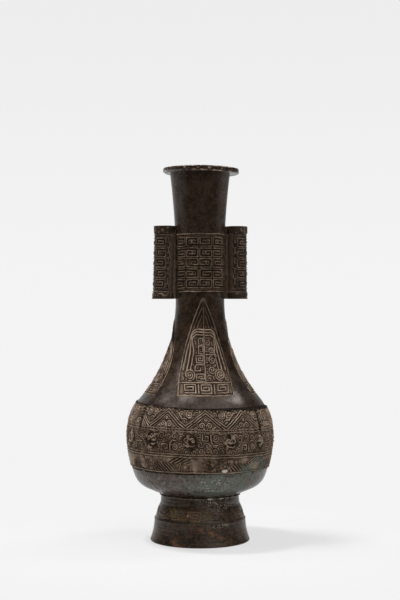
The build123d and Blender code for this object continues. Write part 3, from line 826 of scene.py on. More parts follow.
# %% Tube handles
TUBE_R, RIM_R, BORE_R = 7.3, 7.6, 4.8
RIM_ROUND = 0.7
WEB_W, WEB_LAP = 5.5, 0.8   # width of the web, and how far it reaches into the tube's wall
WEB_PAINTED_LIGHT, WEB_SHADE = 0.7, 0.15    # painted light on the shaded webs between tube and neck, and how much less the right one gets
SEAM = 0.1                  # the web ends this far inside the rims and the neck
HANDLE_DEPTH = 0.65
HANDLE_GROUND = 0.36
HANDLE_PATCH = 2.8          # size of the worn patches
INNER_LEVEL_AND_PAINTED_LIGHT = 0.5           # level of the plain side that faces the neck, whose lighter colour is painted light on a shaded side
RIM_TONE = 0.2              # the rims are darker than the open ground
HANDLE_IN = 0.35            # the worn tubes stand this much nearer to the neck
FIELD_TURN = 98.0           # the carved field reaches this far each way from the outward direction
FIELD_COLUMNS = 3
ROUGH_FINE, ROUGH_SLOW = (0.2, 2.4), (0.12, 6.0)    # height and size of the rims' unevenness
RIM_LOSS = 0.32             # and how far it is set in, so that no rim passes the CAD face
FIELD_SOFT = 0.2            # half the height of the field's soft ends
STEP_TURN = 113.0           # direction of the stepped upright line that ends the field
STEP_JOG = 0.45             # how far that line jogs to and fro
LOW_RAIL, HIGH_RAIL = (0.8, 0.45), (1.0, 0.36)      # the rims' lines: from the field's end, and half width
TUBE_COLUMNS, TUBE_ROWS, BORE_ROWS = 224, 236, 9


def between(value, low, high):
    """1 between two heights and 0 outside them, with short soft ends."""
    rise = smooth(low - FIELD_SOFT, low + FIELD_SOFT, value)
    return rise * smooth(high + FIELD_SOFT, high - FIELD_SOFT, value)


def tube_profile(low, field_low, field_high, high):
    """Radius and height along the tube's closed section, and the first and last row of its outer side."""
    corner = np.linspace(0, math.pi / 2, 6)[:-1]
    side_z = np.linspace(low + RIM_ROUND, high - RIM_ROUND, TUBE_ROWS)
    side_r = RIM_R - (RIM_R - TUBE_R) * between(side_z, field_low, field_high)
    low_r = RIM_R - RIM_ROUND + RIM_ROUND * np.sin(corner)
    low_z = low + RIM_ROUND * (1 - np.cos(corner))
    radius = np.concatenate([low_r, side_r, low_r[::-1], np.full(BORE_ROWS, BORE_R)])
    height = np.concatenate([low_z, side_z, high + low - low_z[::-1], np.linspace(high, low, BORE_ROWS)])
    return radius, height, len(low_r), len(low_r) + len(side_r)


def handle_gap(across, z, field_low, field_high, seed):
    """Gap to columns of spirals, a stepped upright line with ticks at both ends, and the rims' lines."""
    half = TUBE_R * math.radians(FIELD_TURN)
    away = np.abs(across)
    low, high = field_low + NECK_MARGIN, field_high - NECK_MARGIN
    cell_h = (high - low) / NECK_ROWS
    cells = spiral_cells(across + half, z - low, 2 * half / FIELD_COLUMNS, cell_h, seed)
    jog = STEP_JOG * np.where(np.floor((z - low) / cell_h * 2) % 2 == 0, 1, -1)
    end = TUBE_R * math.radians(STEP_TURN) + jog
    ticks = np.abs(wrapped(z - low, cell_h / 2)) - FULL
    ticks = only((away > half + 0.3) & (away < end), ticks)
    carved = nearest(only(away < half, cells), np.abs(away - end) - FULL, ticks)
    low_rail = np.abs(z - field_low - LOW_RAIL[0]) - LOW_RAIL[1]
    high_rail = np.abs(field_high - z - HIGH_RAIL[0]) - HIGH_RAIL[1]
    return nearest(only((z > low) & (z < high), carved), low_rail, high_rail)


def handle_web(side, axis, low, high, field_low, field_high):
    """Points and faces of the flat web between the tube's wall and the bare neck."""
    half = WEB_W / 2
    y, z = np.meshgrid(np.linspace(-half, half, 9), np.linspace(low + SEAM, high - SEAM, 41))
    bare_neck = neck_skin(np.clip(z, field_low, field_high)) - NECK_PROUD
    neck_x = np.sqrt(bare_neck**2 - y**2) - SEAM
    tube_x = axis - np.sqrt((BORE_R + WEB_LAP) ** 2 - y**2)
    points = [np.stack([side * x, side * y, z], -1).reshape(-1, 3) for x in (tube_x, neck_x)]
    return np.concatenate(points), plate_faces(y.shape, y.shape)


def tube_handle(node, side, lean, left_over, seed):
    """A handle on the right for side 1 and on the left for side -1, whose top leans in by a small length.

    Turn is measured round the tube from its outward side."""
    box_low, box_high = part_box(node)
    low, high = box_low.z / MM, box_high.z / MM
    axis = max(abs(box_low.x), abs(box_high.x)) / MM - RIM_R
    ends = [corner.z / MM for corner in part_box("neck_panel_front")]
    radius, height, first, last = tube_profile(low, *ends, high)
    turn, radius = np.meshgrid(full_turn(TUBE_COLUMNS) - 180, radius)
    height = np.broadcast_to(height[:, None], turn.shape)
    cosine, sine = side * np.cos(np.radians(turn)), -np.sin(np.radians(turn))
    bare = np.stack([side * axis + radius * cosine, radius * sine, height], -1)
    outer = np.zeros(turn.shape)
    outer[first:last] = 1
    across, z = by_hand(bare, TUBE_R * np.radians(turn), height, seed)
    relief = raised(handle_gap(across, z, *ends, seed), HANDLE_GROUND)
    relief = relief * worn(bare, left_over, HANDLE_PATCH, seed + 5)
    # The plain side that faces the neck is set to a higher level. This also lightens it as painted light on
    # its shaded side.
    relief = np.maximum(relief, INNER_LEVEL_AND_PAINTED_LIGHT * smooth(STEP_TURN + 2, STEP_TURN + 10, np.abs(turn)))
    field = outer * between(height, *ends)
    rough = ROUGH_FINE[0] * grain(bare, ROUGH_FINE[1], seed + 8)
    rough = rough + ROUGH_SLOW[0] * grain(bare, ROUGH_SLOW[1], seed + 9) - RIM_LOSS
    radius = radius - HANDLE_DEPTH * field * (1 - relief) + rough * (outer - field)
    at_x = side * (axis - HANDLE_IN - lean * (height - low) / (high - low))
    tube = np.stack([at_x + radius * cosine, radius * sine, height], -1).reshape(-1, 3)
    web, web_faces = handle_web(side, axis, low, high, *ends)
    faces = ring_faces(*turn.shape, turned_over=side > 0)
    faces += [[len(tube) + number for number in face] for face in web_faces]
    specks = 0.75 * smooth(0.35, 0.7, grain(bare, 1.2, seed + 10)) * (outer - field)
    ridge = RIM_TONE + (relief - RIM_TONE) * field + specks
    # The webs' ridge value is painted light: it lightens webs that lie in shade between the tube and the
    # neck.
    ridge = np.concatenate([ridge.ravel(), np.full(len(web), WEB_PAINTED_LIGHT - WEB_SHADE * side)])
    return make_piece(f"{node}_carved", np.concatenate([tube, web]), faces, "bronze_handle", node, ridge)


tube_handle("left_tube_handle", -1, 1.2, 0.35, 83)
tube_handle("right_tube_handle", 1, 0.2, 0.1, 89)

# %% [markdown]
# The lip is a flat ring with a squared rim. Knocks have nicked its edges, the metal sags a little on the
# right, and both edges of the rim are light, partly rubbed bright and partly a painted highlight. Its section
# is a rounded rectangle with a rebate for the neck's spigot, carried round the axis, and the random field
# takes a little off the rim.

# %% Lip
RIM_EDGE = 0.9              # rounding of the rim
RIM_FROM, RIM_TO = 2.5, 0.8         # the worn rim begins and is full this far inside its edge
LIP_SAG = 0.45              # how far the lip sags on the right
LIP_THIN = 0.9              # how much thinner its rim is on the left
LIP_SHIFT = 0.6             # how far its rim stands to the right of the axis
NICK, WAVE, DENT = 0.3, 0.16, 0.1   # depths of the nicks, of the rim's waves, and of the dents on top
NICK_CELL, WAVE_CELL, DENT_CELL = 1.6, 5.0, 3.0     # and their sizes
EDGE_AT = 0.3               # the rubbed edges lie this far from the top and the underside
LIP_COLUMNS = 480


def lip_section(low, high, spigot_r, mouth_r, lip_r, step):
    """Radius and height round the lip's closed section, from the spigot's corner out, up, in and down."""
    corner = np.linspace(0, math.pi / 2, 7)
    rise, fall = RIM_EDGE * (1 - np.sin(corner)), RIM_EDGE * (1 - np.cos(corner))
    under = np.linspace(spigot_r, lip_r - RIM_EDGE, 12)[:-1]
    face = np.linspace(low + RIM_EDGE, high - RIM_EDGE, 9)[1:-1]
    over = np.linspace(lip_r - RIM_EDGE, mouth_r + RIM_EDGE, 12)[1:-1]
    runs = (
        (under, np.full(len(under), low)),
        (lip_r - rise, low + fall),
        (np.full(len(face), lip_r), face),
        (lip_r - fall, high - rise),
        (over, np.full(len(over), high)),
        (mouth_r + rise, high - fall),
        ([mouth_r, spigot_r], [low + step, low + step]),
    )
    return [np.concatenate(values) for values in zip(*runs)]


def lip_ring(node, seed):
    """The lip's section turned round the axis, nicked and sagged. The rim's edges are marked as ridges, for
    wear and as a painted highlight.
    """
    point = corners_of(node).reshape(-1, 3)
    reach = np.hypot(point[:, 0], point[:, 1])
    low, high, lip_r = point[:, 2].min(), point[:, 2].max(), reach.max()
    spigot_r = reach[point[:, 2] < low + 0.1].min()
    mouth_r = reach[point[:, 2] > high - 0.1].min()
    step = np.unique(point[reach < spigot_r - 0.2, 2].round(2))[0] - low
    radius, height = lip_section(low, high, spigot_r, mouth_r, lip_r, step)
    turn, radius = np.meshgrid(full_turn(LIP_COLUMNS), radius)
    height = np.broadcast_to(height[:, None], turn.shape)
    bare = turned_points(radius, turn, height)
    outside = smooth(lip_r - RIM_FROM, lip_r - RIM_TO, radius)
    nicks = NICK * smooth(0.35, 0.8, grain(bare, NICK_CELL, seed))
    nicks = nicks + WAVE * (1 + grain(bare, WAVE_CELL, seed + 1))
    rightward = np.sin(np.radians(turn - CAMERA_TURN))
    sag = LIP_SAG * smooth(-0.2, 1.0, rightward) * outside
    thin = LIP_THIN * smooth(0.3, -1.0, rightward) * outside * (high - height) / (high - low)
    dents = DENT * (1 + grain(bare, DENT_CELL, seed + 2)) * (height > high - 0.1)
    shift = LIP_SHIFT * rightward * outside
    points = turned_points(radius + shift - nicks * outside, turn, height - sag + thin - dents)
    from_edge = np.minimum(np.abs(height - low - EDGE_AT), np.abs(high - EDGE_AT - height))
    # The rim's two edges are marked light: wear, and a painted highlight along them.
    worn_and_lit_edges = (1 - smooth(0.2, 0.8, from_edge)) * smooth(-0.1, 0.6, grain(bare, 3.5, seed + 3))
    rubbed = outside * np.maximum(0.8 * worn_and_lit_edges, smooth(0.3, 0.65, grain(bare, 1.3, seed + 4)))
    return make_piece(f"{node}_worn", points, ring_faces(*turn.shape), "bronze_plain", node, rubbed)


lip_ring("lip_ring", 101)

# %% [markdown]
# The foot was soldered under the belly. A thin bead shows in the corner, thicker here and thinner there, with
# bright drops on the right. It is a small circle carried round a big one, with its radius varied by the
# random field.

# %% Solder bead
BEAD_ROWS, BEAD_COLUMNS = 12, 360


def solder_bead(node, seed):
    """A ring of changing thickness: the small circle's radius is between half and all of the CAD bead's."""
    low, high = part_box(node)
    bead_r = (high.z - low.z) / MM / 2
    ring_r = high.x / MM - bead_r
    level = (high.z + low.z) / MM / 2
    turn, around = np.meshgrid(full_turn(BEAD_COLUMNS), np.arange(BEAD_ROWS) * math.tau / BEAD_ROWS)
    on_ring = turned_points(ring_r, turn, level)
    size = bead_r * (0.7 + 0.2 * grain(on_ring, 3.0, seed) + 0.1 * grain(on_ring, 1.2, seed + 1))
    points = turned_points(ring_r + size * np.cos(around), turn, level + size * np.sin(around))
    rightward = np.sin(np.radians(turn - CAMERA_TURN))
    ridge = smooth(0.0, 0.4, grain(on_ring, 2.2, seed + 2)) * smooth(-0.6, 0.4, rightward)
    return make_piece(f"{node}_run", points, ring_faces(BEAD_ROWS, BEAD_COLUMNS), "solder", node, ridge)


solder_bead("foot_solder_bead", 97)

# %% [markdown]
# Materials are built from shader nodes. A few short helpers keep them readable: each adds one node, links the
# sockets that it is given and sets the plain values.

# %% Helpers for nodes
class Nodes:
    """A node tree with short ways to add to it. A socket that is given is linked, and a value is set."""

    def __init__(self, tree):
        self.tree = tree

    def fill(self, node, inputs):
        """Links or sets the inputs of a node by name or number."""
        for key, value in inputs.items():
            if isinstance(value, bpy.types.NodeSocket):
                self.tree.links.new(value, node.inputs[key])
            else:
                node.inputs[key].default_value = value

    def add(self, kind, settings=None, inputs=None):
        """A shader node with its settings and its inputs."""
        made = self.tree.nodes.new("ShaderNode" + kind)
        for key, value in (settings or {}).items():
            setattr(made, key, value)
        self.fill(made, inputs or {})
        return made

    def place(self):
        """Places in the object's own space."""
        return self.add("TexCoord").outputs["Object"]

    def step(self, operation, first, *others):
        """One step of arithmetic, or several in a row, each kept between 0 and 1."""
        for other in others:
            made = self.add("Math", {"operation": operation, "use_clamp": True}, {0: first, 1: other})
            first = made.outputs[0]
        return first

    def times(self, *values):
        """The product of several values."""
        return self.step("MULTIPLY", *values)

    def most(self, *values):
        """The greatest of several values."""
        return self.step("MAXIMUM", *values)

    def ramp(self, value, low, high, to_low=0.0, to_high=1.0, kind="SMOOTHSTEP"):
        """The value stretched from the range low to high onto to_low to to_high, with soft ends."""
        inputs = {"Value": value, "From Min": low, "From Max": high, "To Min": to_low, "To Max": to_high}
        return self.add("MapRange", {"interpolation_type": kind}, inputs).outputs["Result"]

    def mix(self, share, first, second):
        """A colour between two colours."""
        return self.add("Mix", {"data_type": "RGBA"}, {"Factor": share, 6: first, 7: second}).outputs[2]

    def noise(self, place, scale, detail, roughness=0.55):
        """A cloudy random value at a place."""
        inputs = {"Vector": place, "Scale": scale, "Detail": detail, "Roughness": roughness}
        return self.add("TexNoise", None, inputs).outputs["Fac"]

    def dots(self, place, scale, inner, outer):
        """Small round spots, 1 in their middle and 0 between them."""
        away = self.add("TexVoronoi", {"feature": "F1"}, {"Vector": place, "Scale": scale})
        return self.ramp(away.outputs["Distance"], inner, outer, 1.0, 0.0)

    def away(self, place):
        """Distance from the middle of the space."""
        return self.add("VectorMath", {"operation": "LENGTH"}, {0: place}).outputs["Value"]

    def patch(self, place, centre, size, turn=(0.0, 0.0, 0.0)):
        """1 in the middle of an egg-shaped patch of space, falling softly to 0 at its skin."""
        inputs = {"Vector": place, "Location": centre, "Rotation": turn, "Scale": size}
        moved = self.add("Mapping", {"vector_type": "TEXTURE"}, inputs).outputs["Vector"]
        return self.ramp(self.away(moved), 0.35, 1.0, 1.0, 0.0)

    def patches(self, place, spots):
        """Several such patches together."""
        return self.most(*(self.patch(place, *spot) for spot in spots))

    def bump(self, strength, depth, height, under=None):
        """A normal bent by a height of some depth, laid over another bent normal if there is one."""
        inputs = {"Strength": strength, "Distance": depth, "Height": height}
        if under is not None:
            inputs["Normal"] = under
        return self.add("Bump", None, inputs).outputs["Normal"]


def new_group(name, inputs, outputs):
    """An empty shader node group with number inputs and outputs. Gives its nodes, its inputs and its end."""
    tree = bpy.data.node_groups.new(name, "ShaderNodeTree")
    for label, value in inputs.items():
        tree.interface.new_socket(label, in_out="INPUT", socket_type="NodeSocketFloat").default_value = value
    for label in outputs:
        tree.interface.new_socket(label, in_out="OUTPUT", socket_type="NodeSocketFloat")
    return Nodes(tree), tree.nodes.new("NodeGroupInput").outputs, tree.nodes.new("NodeGroupOutput")


print("node helpers ready")

# %% [markdown]
# Old bronze is not one colour. Two effects are shared by every finish, so each is a node group. The first is
# the cast skin: slow mottling, a fine grain and scattered pits, all in the object's own space.

# %% Cast skin
SLOW, MIDDLE, FINE = (150.0, 9.0, 0.82), (260.0, 3.0, 0.6), (900.0, 2.0, 0.5)   # scale, detail, roughness
BLOOM_CLOUD, SHALLOW = (130.0, 6.0, 0.7), (110.0, 3.0, 0.5)
PIT_DOTS = (420.0, 0.16, 0.34)      # scale, and where a pit's floor ends and its rim begins


def cast_skin_group():
    """Mottle, Bloom, Pits, Speckle, Height and Dents of an old casting, all from Object coordinates."""
    outputs = ("Mottle", "Bloom", "Pits", "Speckle", "Height", "Dents")
    nodes, given, out = new_group("cast_skin", {"Pit Depth": 1.0}, outputs)
    place = nodes.place()
    fine = nodes.noise(place, *FINE)
    middle = nodes.noise(place, *MIDDLE)
    pits = nodes.times(nodes.dots(place, *PIT_DOTS), nodes.ramp(middle, 0.48, 0.58))
    ground = nodes.step("ADD", nodes.times(fine, 0.2), nodes.times(middle, 0.5))
    nodes.fill(out, {
        "Mottle": nodes.ramp(nodes.noise(place, *SLOW), 0.32, 0.7),
        "Bloom": nodes.ramp(nodes.noise(place, *BLOOM_CLOUD), 0.54, 0.72),
        "Pits": pits,
        "Speckle": nodes.ramp(fine, 0.55, 0.72),
        "Height": nodes.step("SUBTRACT", ground, nodes.times(pits, given["Pit Depth"])),
        "Dents": nodes.noise(place, *SHALLOW),
    })
    return nodes.tree


cast_skin = cast_skin_group()
print("node group:", cast_skin.name)

# %% [markdown]
# The second effect is age: grey-green verdigris on the lower right of the bowl, a rust-brown run on the foot,
# an ochre bloom at its collar, and pale specks of old cleaning paste near the joint. Each is an egg-shaped
# patch of space broken up by noise.

# %% Age stains
GREEN_SPOTS = (             # every spot: its middle and half sizes in metres, and how it is turned
    ((0.007, -0.038, 0.0415), (0.031, 0.028, 0.0125)),
    ((0.032, -0.036, 0.0528), (0.019, 0.022, 0.0105)),
)
RUST_SPOTS = (
    ((0.004, -0.031, 0.0088), (0.0135, 0.02, 0.0022), (0.0, math.radians(20), 0.0)),
    ((-0.018, -0.026, 0.002), (0.006, 0.012, 0.004)),
)
OCHRE_SPOTS = (
    ((-0.019, -0.020, 0.0215), (0.008, 0.012, 0.006)),
    ((-0.006, -0.028, 0.0185), (0.012, 0.014, 0.006)),
)
SPECK_SPOTS = (
    ((0.014, -0.026, 0.0285), (0.024, 0.016, 0.0085)),
    ((0.0105, -0.030, 0.0135), (0.012, 0.014, 0.0022)),
)
BOWL_SPECKS = ((0.003, -0.038, 0.0425), (0.029, 0.024, 0.010))
CHIP = ((0.0104, -0.0463, 0.0516), (0.0026, 0.005, 0.0014))
STAIN_CLOUD, OTHER_CLOUD = (190.0, 8.0, 0.75), (230.0, 6.0, 0.68)
TINY_DOTS, PALE_DOTS = (1150.0, 0.12, 0.36), (680.0, 0.1, 0.32)
SPECK_FROM, SPECK_TO = 0.44, 0.54   # specks show where a cloud is above these values


def age_stains_group():
    """Masks for Verdigris, Rust, Ochre and Specks from Object coordinates."""
    outputs = ("Verdigris", "Rust", "Ochre", "Specks")
    nodes, given, out = new_group("age_stains", {"Everywhere": 0.1}, outputs)
    place = nodes.place()
    cloud = nodes.noise(place, *STAIN_CLOUD)
    other = nodes.noise(place, *OTHER_CLOUD)
    green_at = nodes.most(nodes.patches(place, GREEN_SPOTS), given["Everywhere"])
    rust_at = nodes.most(nodes.patches(place, RUST_SPOTS), given["Everywhere"])
    foot_at = nodes.patches(place, SPECK_SPOTS)
    tiny = nodes.times(nodes.dots(place, *TINY_DOTS), nodes.ramp(other, SPECK_FROM, SPECK_TO), foot_at)
    pale = nodes.times(nodes.dots(place, *PALE_DOTS), nodes.ramp(cloud, SPECK_FROM, SPECK_TO))
    pale = nodes.times(pale, nodes.most(foot_at, nodes.patch(place, *BOWL_SPECKS)))
    nodes.fill(out, {
        "Verdigris": nodes.times(green_at, nodes.ramp(cloud, 0.38, 0.58)),
        "Rust": nodes.times(rust_at, nodes.ramp(other, 0.42, 0.6)),
        "Ochre": nodes.times(nodes.patches(place, OCHRE_SPOTS), nodes.ramp(other, 0.4, 0.64)),
        "Specks": nodes.most(tiny, pale, nodes.ramp(nodes.patch(place, *CHIP), 0.1, 0.6)),
    })
    return nodes.tree


age_stains = age_stains_group()
print("node group:", age_stains.name)

# %% [markdown]
# One function makes every bronze finish, because they differ only in their colours, gloss and in how much
# the ridges are rubbed. The ridge mask comes from the carved mesh, so the tan always sits on the ridge tops
# and the dark dirt in the cuts, where it also serves as painted shade. Higher up, on the neck and its
# handles, the relief is made darker.

# %% Bronze finish
VERDIGRIS = (0.1, 0.128, 0.105, 1)
RUST = (0.2, 0.088, 0.04, 1)
OCHRE = (0.1, 0.075, 0.035, 1)
PASTE = (0.55, 0.51, 0.45, 1)
BLOOM = (0.06, 0.047, 0.044, 1)
DIRT_AND_SHADE = (0.006, 0.004, 0.003, 1)
HAZE_AND_SHEEN = (0.19, 0.169, 0.16, 1)
HAZE_SHEEN_FOOT, HAZE_SHEEN_TOP = (0.033, 0.040), (0.045, 0.054)    # the bowl's grey haze and painted floor reflection come and go at these heights
WARM_SHINE = (1.0, 0.88, 0.8, 1)
RUB_CLOUD, HAZE_SHEEN_CLOUD = (340.0, 5.0, 0.75), (480.0, 6.0, 0.8)
BLOOM_SHARE, PIT_DIRT, METAL_SHARE, STAIN_ROUGH = 0.35, 0.75, 0.2, 0.3
DENT_STRENGTH, GRAIN_STRENGTH = 0.6, 0.7
BRONZE_IOR = 1.5
DENT_DEPTH = 0.0005         # depth of the shallow dents
RING_DEPTH = 0.0001         # depth of the turned lines
RING_PLACE = (40.0, 40.0, 800.0)    # the noise is squeezed in height until it runs in rings
POLISH_ROUGH = 0.3          # roughness of the shine on rubbed ridges
DARK_FROM, DARK_TO = 0.134, 0.166   # heights between which the relief turns dark


def bronze(name, dark, light, rubbed, rub, upper_rub, gloss, stains, pit_depth, grain_height, specular,
           speckle=0.1, carved=0.0, turned=0.0, haze_and_sheen=0.0, polish=0.0):
    """A patinated bronze: mottled dark to light, rubbed on its ridges, stained by age, grained and pitted."""
    material = bpy.data.materials.new(name)
    material.use_nodes = True
    nodes = Nodes(material.node_tree)
    skin = nodes.add("Group", {"node_tree": cast_skin}, {"Pit Depth": pit_depth}).outputs
    age = nodes.add("Group", {"node_tree": age_stains}, {"Everywhere": stains}).outputs
    place = nodes.place()
    height = nodes.add("SeparateXYZ", None, {0: place}).outputs["Z"]
    ridge = nodes.add("Attribute", {"attribute_name": "ridge"}).outputs["Fac"]
    patchy = nodes.ramp(nodes.noise(place, *RUB_CLOUD), 0.34, 0.62, 0.45, 1.0)
    ring_place = nodes.add("Mapping", None, {"Vector": place, "Scale": RING_PLACE}).outputs["Vector"]
    rings = nodes.ramp(nodes.noise(ring_place, 1.0, 3.0), 0.35, 0.65)
    above = nodes.ramp(height, DARK_FROM, DARK_TO, rub, upper_rub)
    share = nodes.times(patchy, above, nodes.ramp(ridge, 0.2, 0.95))
    # Grey haze on the lower bowl: partly greyer patina, partly a painted reflection of the pale floor that
    # the bowl faces.
    cloud = nodes.ramp(nodes.noise(place, *HAZE_SHEEN_CLOUD), 0.4, 0.62)
    cloud = nodes.times(cloud, nodes.ramp(height, *HAZE_SHEEN_TOP, haze_and_sheen, 0.0), nodes.ramp(height, *HAZE_SHEEN_FOOT))
    tone = nodes.times(skin["Mottle"], nodes.ramp(rings, 0.0, 1.0, 1.0 - turned, 1.0))
    colour = nodes.mix(tone, dark, light)
    layers = (
        (nodes.times(skin["Bloom"], BLOOM_SHARE), BLOOM),
        (share, rubbed),
        (nodes.times(skin["Speckle"], speckle), rubbed),
        # Pits and cuts take the dark dirt colour. In the narrow cuts it is also painted shade of the grooves.
        (nodes.times(skin["Pits"], PIT_DIRT), DIRT_AND_SHADE),
        (nodes.ramp(ridge, 0.05, 0.34, carved, 0.0), DIRT_AND_SHADE),
        (cloud, HAZE_AND_SHEEN),
        (age["Verdigris"], VERDIGRIS),
        (age["Rust"], RUST),
        (age["Ochre"], OCHRE),
        (age["Specks"], PASTE),
    )
    for mask, layer in layers:
        colour = nodes.mix(mask, colour, layer)
    dull = nodes.most(age["Verdigris"], age["Specks"], age["Rust"])
    rough = nodes.ramp(skin["Mottle"], 0, 1, *gloss, "LINEAR")
    normal = nodes.bump(DENT_STRENGTH, DENT_DEPTH, skin["Dents"])
    normal = nodes.bump(turned, RING_DEPTH, rings, normal)
    normal = nodes.bump(GRAIN_STRENGTH, grain_height, skin["Height"], normal)
    nodes.fill(nodes.tree.nodes["Principled BSDF"], {
        "Base Color": colour,
        "Roughness": nodes.step("ADD", rough, nodes.times(dull, STAIN_ROUGH)),
        "Metallic": nodes.times(share, METAL_SHARE),
        "Coat Weight": nodes.times(share, polish),
        "Coat Roughness": POLISH_ROUGH,
        "Normal": normal,
        "IOR": BRONZE_IOR,
        "Specular Tint": WARM_SHINE,
        "Specular IOR Level": specular,
    })
    print("finish:", name)
    return material


print("the relief turns dark from", DARK_FROM, "to", DARK_TO, "metres up")

# %% [markdown]
# The plain castings are nearly black brown with a purple bloom. The carved plates have a warmer ground, and
# the solder is a dull grey.

# %% Finishes by slot
NEAR_BLACK, BROWN = (0.0095, 0.0052, 0.0034, 1), (0.046, 0.026, 0.0155, 1)
GROUND, WARM = (0.058, 0.0355, 0.0215, 1), (0.1, 0.063, 0.039, 1)
TAN = (0.52, 0.385, 0.285, 1)
FOOT_SPECK = (0.3, 0.15, 0.06, 1)
FOOT_DARK, FOOT_LIGHT = (0.006, 0.0035, 0.0026, 1), (0.075, 0.04, 0.023, 1)
HANDLE_DARK, HANDLE_LIGHT = (0.03, 0.0175, 0.0105, 1), (0.075, 0.045, 0.027, 1)
SOLDER_DARK, SOLDER_LIGHT = (0.045, 0.033, 0.025, 1), (0.14, 0.105, 0.08, 1)
SOLDER_BRIGHT = (0.8, 0.7, 0.56, 1)
LOOKS = {
    "bronze_plain": dict(
        dark=NEAR_BLACK, light=BROWN, rubbed=TAN, rub=0.7, upper_rub=0.7, gloss=(0.21, 0.33), stains=0.03,
        pit_depth=0.6, grain_height=0.00003, specular=0.45, speckle=0.06, haze_and_sheen=0.7,
    ),
    "bronze_foot": dict(
        dark=FOOT_DARK, light=FOOT_LIGHT, rubbed=FOOT_SPECK, rub=0.7, upper_rub=0.7, gloss=(0.22, 0.4),
        stains=0.1, pit_depth=0.8, grain_height=0.00009, specular=0.46, speckle=0.45, turned=0.8,
    ),
    "bronze_handle": dict(
        dark=HANDLE_DARK, light=HANDLE_LIGHT, rubbed=TAN, rub=0.4, upper_rub=0.4, gloss=(0.4, 0.55),
        stains=0.04, pit_depth=0.6, grain_height=0.00007, specular=0.2, speckle=0.16, carved=0.95,
    ),
    "bronze_relief": dict(
        dark=GROUND, light=WARM, rubbed=TAN, rub=1.0, upper_rub=0.6, gloss=(0.45, 0.6), stains=0.06,
        pit_depth=0.6, grain_height=0.00006, specular=0.05, speckle=0.2, carved=0.97, polish=0.6,
    ),
    "solder": dict(
        dark=SOLDER_DARK, light=SOLDER_LIGHT, rubbed=SOLDER_BRIGHT, rub=0.9, upper_rub=0.9, gloss=(0.5, 0.65),
        stains=0.1, pit_depth=0.5, grain_height=0.0001, specular=0.4,
    ),
}
finishes = {slot: bronze(slot, **look) for slot, look in LOOKS.items()}

# %% [markdown]
# The CAD castings whose shape is right as it is stay in the scene and get their slot's finish. Every carved
# piece gets the finish of the slot that it was made with.

# %% Dress every piece
NODE_SLOTS = {
    "neck_tube": "bronze_plain",
    "shoulder_shell": "bronze_plain",
    "belly_bowl": "bronze_plain",
    "base_plate": "bronze_plain",
    "foot_ring": "bronze_foot",
}
for node, slot in NODE_SLOTS.items():
    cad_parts[node].data.materials.clear()
    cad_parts[node].data.materials.append(finishes[slot])
for piece, slot in made_pieces:
    piece.data.materials.append(finishes[slot])
print("dressed", len(NODE_SLOTS), "CAD pieces and", len(made_pieces), "carved ones")

# %% [markdown]
# The studio is a pale floor that runs into a pale surround. Seen by the camera both have nearly one tone, and
# near the vase the floor also takes real light, so it keeps the soft shadow. The vase mirrors the table in
# front of it dimmer than the rest, as a table that ends before the camera would look.

# %% Floor
PALE = 0.9
FLOOR_HALF = 9.0
FLOOR_FRONT = -0.6          # the table ends between the vase and the camera, below the picture
GLOW_NEAR, GLOW_FAR = 0.05, 0.22    # the floor's own light grows between these distances from the vase
GLOW_LEAST = 0.66
FLOOR_TONE = 0.77
FLOOR_ROUGH, FLOOR_SHINE = 0.9, 0.1
MIRROR_FRONT = 0.62         # share of the table's glow that the vase mirrors in front of itself
MIRROR_FROM, MIRROR_TO = -0.1, 0.3


def pale_floor():
    """A flat sheet under the foot. Its own light fades in with distance, where no shadow falls."""
    mesh = bpy.data.meshes.new("floor")
    wide, front = FLOOR_HALF, FLOOR_FRONT
    corners = [(-wide, front, 0), (wide, front, 0), (wide, wide, 0), (-wide, wide, 0)]
    mesh.from_pydata(corners, [], [(0, 1, 2, 3)])
    floor = bpy.data.objects.new("floor", mesh)
    bpy.context.scene.collection.objects.link(floor)
    material = bpy.data.materials.new("pale_floor")
    material.use_nodes = True
    nodes = Nodes(material.node_tree)
    shader = nodes.tree.nodes["Principled BSDF"]
    tone = (FLOOR_TONE, FLOOR_TONE, FLOOR_TONE, 1)
    nodes.fill(shader, {"Base Color": tone, "Roughness": FLOOR_ROUGH, "Specular IOR Level": FLOOR_SHINE})
    ray = nodes.add("LightPath").outputs
    seen = nodes.step("ADD", ray["Is Camera Ray"], ray["Is Glossy Ray"], ray["Is Transmission Ray"])
    place = nodes.place()
    share = nodes.times(seen, nodes.ramp(nodes.away(place), GLOW_NEAR, GLOW_FAR, GLOW_LEAST, 1.0))
    depth = nodes.add("SeparateXYZ", None, {0: place}).outputs["Y"]
    loss = nodes.ramp(depth, MIRROR_FROM, MIRROR_TO, 1 - MIRROR_FRONT, 0.0)
    strength = nodes.step("SUBTRACT", 1.0, nodes.times(loss, ray["Is Glossy Ray"]))
    glow = nodes.add("Emission", None, {"Color": (PALE, PALE, PALE, 1), "Strength": strength})
    both = nodes.add("MixShader", None, {0: share, 1: shader.outputs[0], 2: glow.outputs[0]})
    nodes.fill(nodes.tree.nodes["Material Output"], {"Surface": both.outputs[0]})
    floor.data.materials.append(material)
    return floor


pale_floor()
print("pale floor laid")

# %% [markdown]
# The room behind the camera is dark and the walls at the sides and the back are pale, the right one less than
# the left one. That is why the vase is nearly black where it faces the camera and turns lighter towards its
# edges.

# %% Surround
ROOM_DARK, ROOM_PALE = 0.02, 0.68
ROOM_FROM, ROOM_TO = 0.42, 0.97     # the walls grow pale between these shares of the way to the back
ROOM_RIGHT = 0.58           # the right wall has this share of the left one's light
ROOM_TURN = 0.6             # and the change runs this far to each side of the middle
TOP_TONE = 0.85             # the backdrop is a little darker towards the top of the picture
TOP_RISE = 0.24


